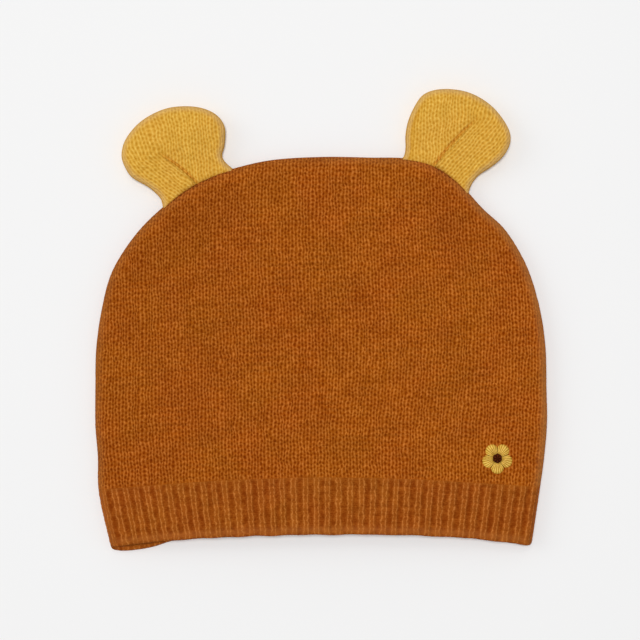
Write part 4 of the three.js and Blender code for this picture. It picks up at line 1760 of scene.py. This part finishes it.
@dataclass(frozen=True)
class YarnFinish:
    """A knitting or embroidery yarn, as it looks on the piece."""

    name: str
    # gap is painted shade in the gaps, light a painted highlight on the crests, and edge a painted
    # sheen along rolled edges.
    gap: Colour
    yarn: Colour
    light: Colour
    edge: Colour
    accent: Colour
    heather: float = 0.2
    edge_amount: float = 0.45
    sheen: float = 0.02
    grain: float = 0.6
    stitch_amount: float = 0.0
    rib_amount: float = 0.0
    stitch_depth: float = 0.0
    ply: float = 0.00008
    fuzz: float = 0.00008

    def material(self, group: bpy.types.NodeTree) -> bpy.types.Material:
        """Make the material.

        Args:
            group: The shared yarn effect.

        Returns:
            The new material.
        """
        made = bpy.data.materials.new(self.name)
        made.use_nodes = True
        sheet = NodeSheet(made.node_tree)
        effect = sheet.add("ShaderNodeGroup", node_tree=group)
        colours = (self.gap, self.yarn, self.light, self.edge, self.accent)
        numbers = (self.heather, self.edge_amount, self.stitch_amount, self.rib_amount,
                   self.stitch_depth, self.grain, self.ply, self.fuzz)
        for name, value in zip(YARN_COLOURS + YARN_NUMBERS, colours + numbers):
            effect.inputs[name].default_value = value
        shader = sheet.add("ShaderNodeBsdfPrincipled")
        sheet.fill(shader, Specular_IOR_Level=0.04, Sheen_Weight=self.sheen,
                   Sheen_Roughness=0.6, Sheen_Tint=self.light)
        for theirs, name in zip(("Base Color", "Roughness", "Normal"), YARN_RESULTS):
            sheet.feed(shader.inputs[theirs], effect.outputs[name])
        sheet.feed(sheet.add("ShaderNodeOutputMaterial").inputs[0], shader.outputs[0])
        return made


# Colours of each finish: painted gap shade, yarn, painted highlight, painted edge sheen and
# accent.
RUST = YarnFinish(
    "rust_knit", linear(126, 50, 0), linear(158, 79, 11), linear(195, 115, 46),
    linear(181, 118, 60), linear(160, 82, 18), edge_amount=0.65, stitch_amount=0.65,
    stitch_depth=0.00012)
RUST_RIB = YarnFinish(
    "rust_rib", linear(130, 56, 4), linear(157, 82, 21), linear(190, 114, 50),
    linear(178, 106, 48), linear(160, 86, 24), grain=0.7, rib_amount=0.75)
HONEY = YarnFinish(
    "honey_knit", linear(196, 138, 38), linear(217, 163, 61), linear(239, 193, 93),
    linear(216, 176, 114), linear(208, 154, 62), heather=0.12, edge_amount=0.65,
    grain=0.4, stitch_amount=0.6, stitch_depth=0.00006)
YELLOW_THREAD = YarnFinish(
    "yellow_thread", linear(150, 96, 16), linear(226, 178, 68), linear(250, 214, 112),
    linear(226, 178, 68), linear(74, 28, 8), heather=0.1, sheen=0.1, grain=0.3)
BROWN_THREAD = YarnFinish(
    "brown_thread", linear(36, 12, 4), linear(74, 28, 8), linear(104, 46, 18),
    linear(74, 28, 8), linear(74, 28, 8), heather=0.1, sheen=0.1)


def dress(piece: bpy.types.Object, material: bpy.types.Material) -> None:
    """Give a piece its one material, and report it."""
    piece.data.materials.clear()
    piece.data.materials.append(material)
    log.info("%s: %d faces, %s", piece.name, len(piece.data.polygons), material.name)


# ---------------------------------------------------------------- studio


@dataclass(frozen=True)
class SoftLight:
    """A round soft light that points at the hat."""

    place: tuple[float, float, float]
    size: float
    watts: float

    def build(self) -> None:
        """Hang the light."""
        bpy.ops.object.light_add(type="AREA", location=self.place)
        light = bpy.context.object
        light.data.shape = "DISK"
        light.data.size = self.size
        light.data.energy = self.watts
        light.rotation_euler = (-Vector(self.place)).to_track_quat("-Z", "Y").to_euler()


@dataclass(frozen=True)
class Studio:
    """Camera, floor and soft light of the photograph."""

    field_width: float = 254 * MM
    lens: float = 120.0
    sensor: float = 36.0
    look_at: Pair = (-0.45 * MM, -0.1 * MM)
    object_level: float = 6 * MM
    floor_size: float = 6.0
    floor_drop: float = 0.02 * MM
    floor_colour: Colour = linear(243, 243, 243)
    floor_roughness: float = 0.9
    floor_specular: float = 0.1
    fill: float = 0.32
    lights: tuple[SoftLight, ...] = (
        SoftLight((-0.07, 0.15, 2.0), 0.42, 23.8),
        SoftLight((-8.4, 2.8, 6.0), 7.0, 150.0),
        SoftLight((-0.2, 1.3, 2.6), 0.8, 3.6),
    )

    def build_camera(self) -> None:
        """Add the camera, right above the hat."""
        distance = self.lens / self.sensor * self.field_width
        place = (*self.look_at, self.object_level + distance)
        bpy.ops.object.camera_add(location=place, rotation=(0, 0, 0))
        camera = bpy.context.object
        camera.data.lens = self.lens
        camera.data.sensor_width = self.sensor
        bpy.context.scene.camera = camera

    def build_floor(self) -> None:
        """Add the pale floor."""
        deselect_all()
        bpy.ops.mesh.primitive_plane_add(size=self.floor_size, location=(0, 0, -self.floor_drop))
        floor = bpy.context.object
        floor.name = "floor"
        made = bpy.data.materials.new("paper")
        made.use_nodes = True
        shader = made.node_tree.nodes["Principled BSDF"]
        shader.inputs["Base Color"].default_value = self.floor_colour
        shader.inputs["Roughness"].default_value = self.floor_roughness
        shader.inputs["Specular IOR Level"].default_value = self.floor_specular
        floor.data.materials.append(made)

    def build(self) -> None:
        """Add the camera, the floor, the lights and the surroundings."""
        self.build_camera()
        self.build_floor()
        for light in self.lights:
            light.build()
        scene, world = bpy.context.scene, bpy.data.worlds.new("studio")
        scene.world = world
        world.use_nodes = True
        background = world.node_tree.nodes["Background"]
        background.inputs[0].default_value = (1, 1, 1, 1)
        background.inputs[1].default_value = self.fill
        scene.view_settings.view_transform = "Standard"
        scene.view_settings.look = "None"


def main() -> None:
    """Build the studio and the hat, piece by piece."""
    Studio().build()
    group = YarnEffect().build()
    rust, rib, honey = (finish.material(group) for finish in (RUST, RUST_RIB, HONEY))
    sizes = HatSizes()
    outline = sizes.outline()
    front = Shell(sizes, outline, Side.FRONT)
    back = Shell(sizes, outline, Side.BACK)
    dress(CrownPanel(front, "crown_front", seed=11).build(), rust)
    dress(CrownPanel(back, "crown_back", seed=12).build(), rust)
    dress(RibBand(front, "rib_front", seed=21).build(), rib)
    dress(RibBand(back, "rib_back", seed=22).build(), rib)
    for lie in EAR_LIES:
        dress(Ear(sizes, outline, lie).build(), honey)
    low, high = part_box("flower_petals")
    flower = Flower(front, ((low[0] + high[0]) / 2, (low[1] + high[1]) / 2))
    dress(flower.petal_ring(), YELLOW_THREAD.material(group))
    dress(flower.knot(), BROWN_THREAD.material(group))


if __name__ == "__main__":
    main()
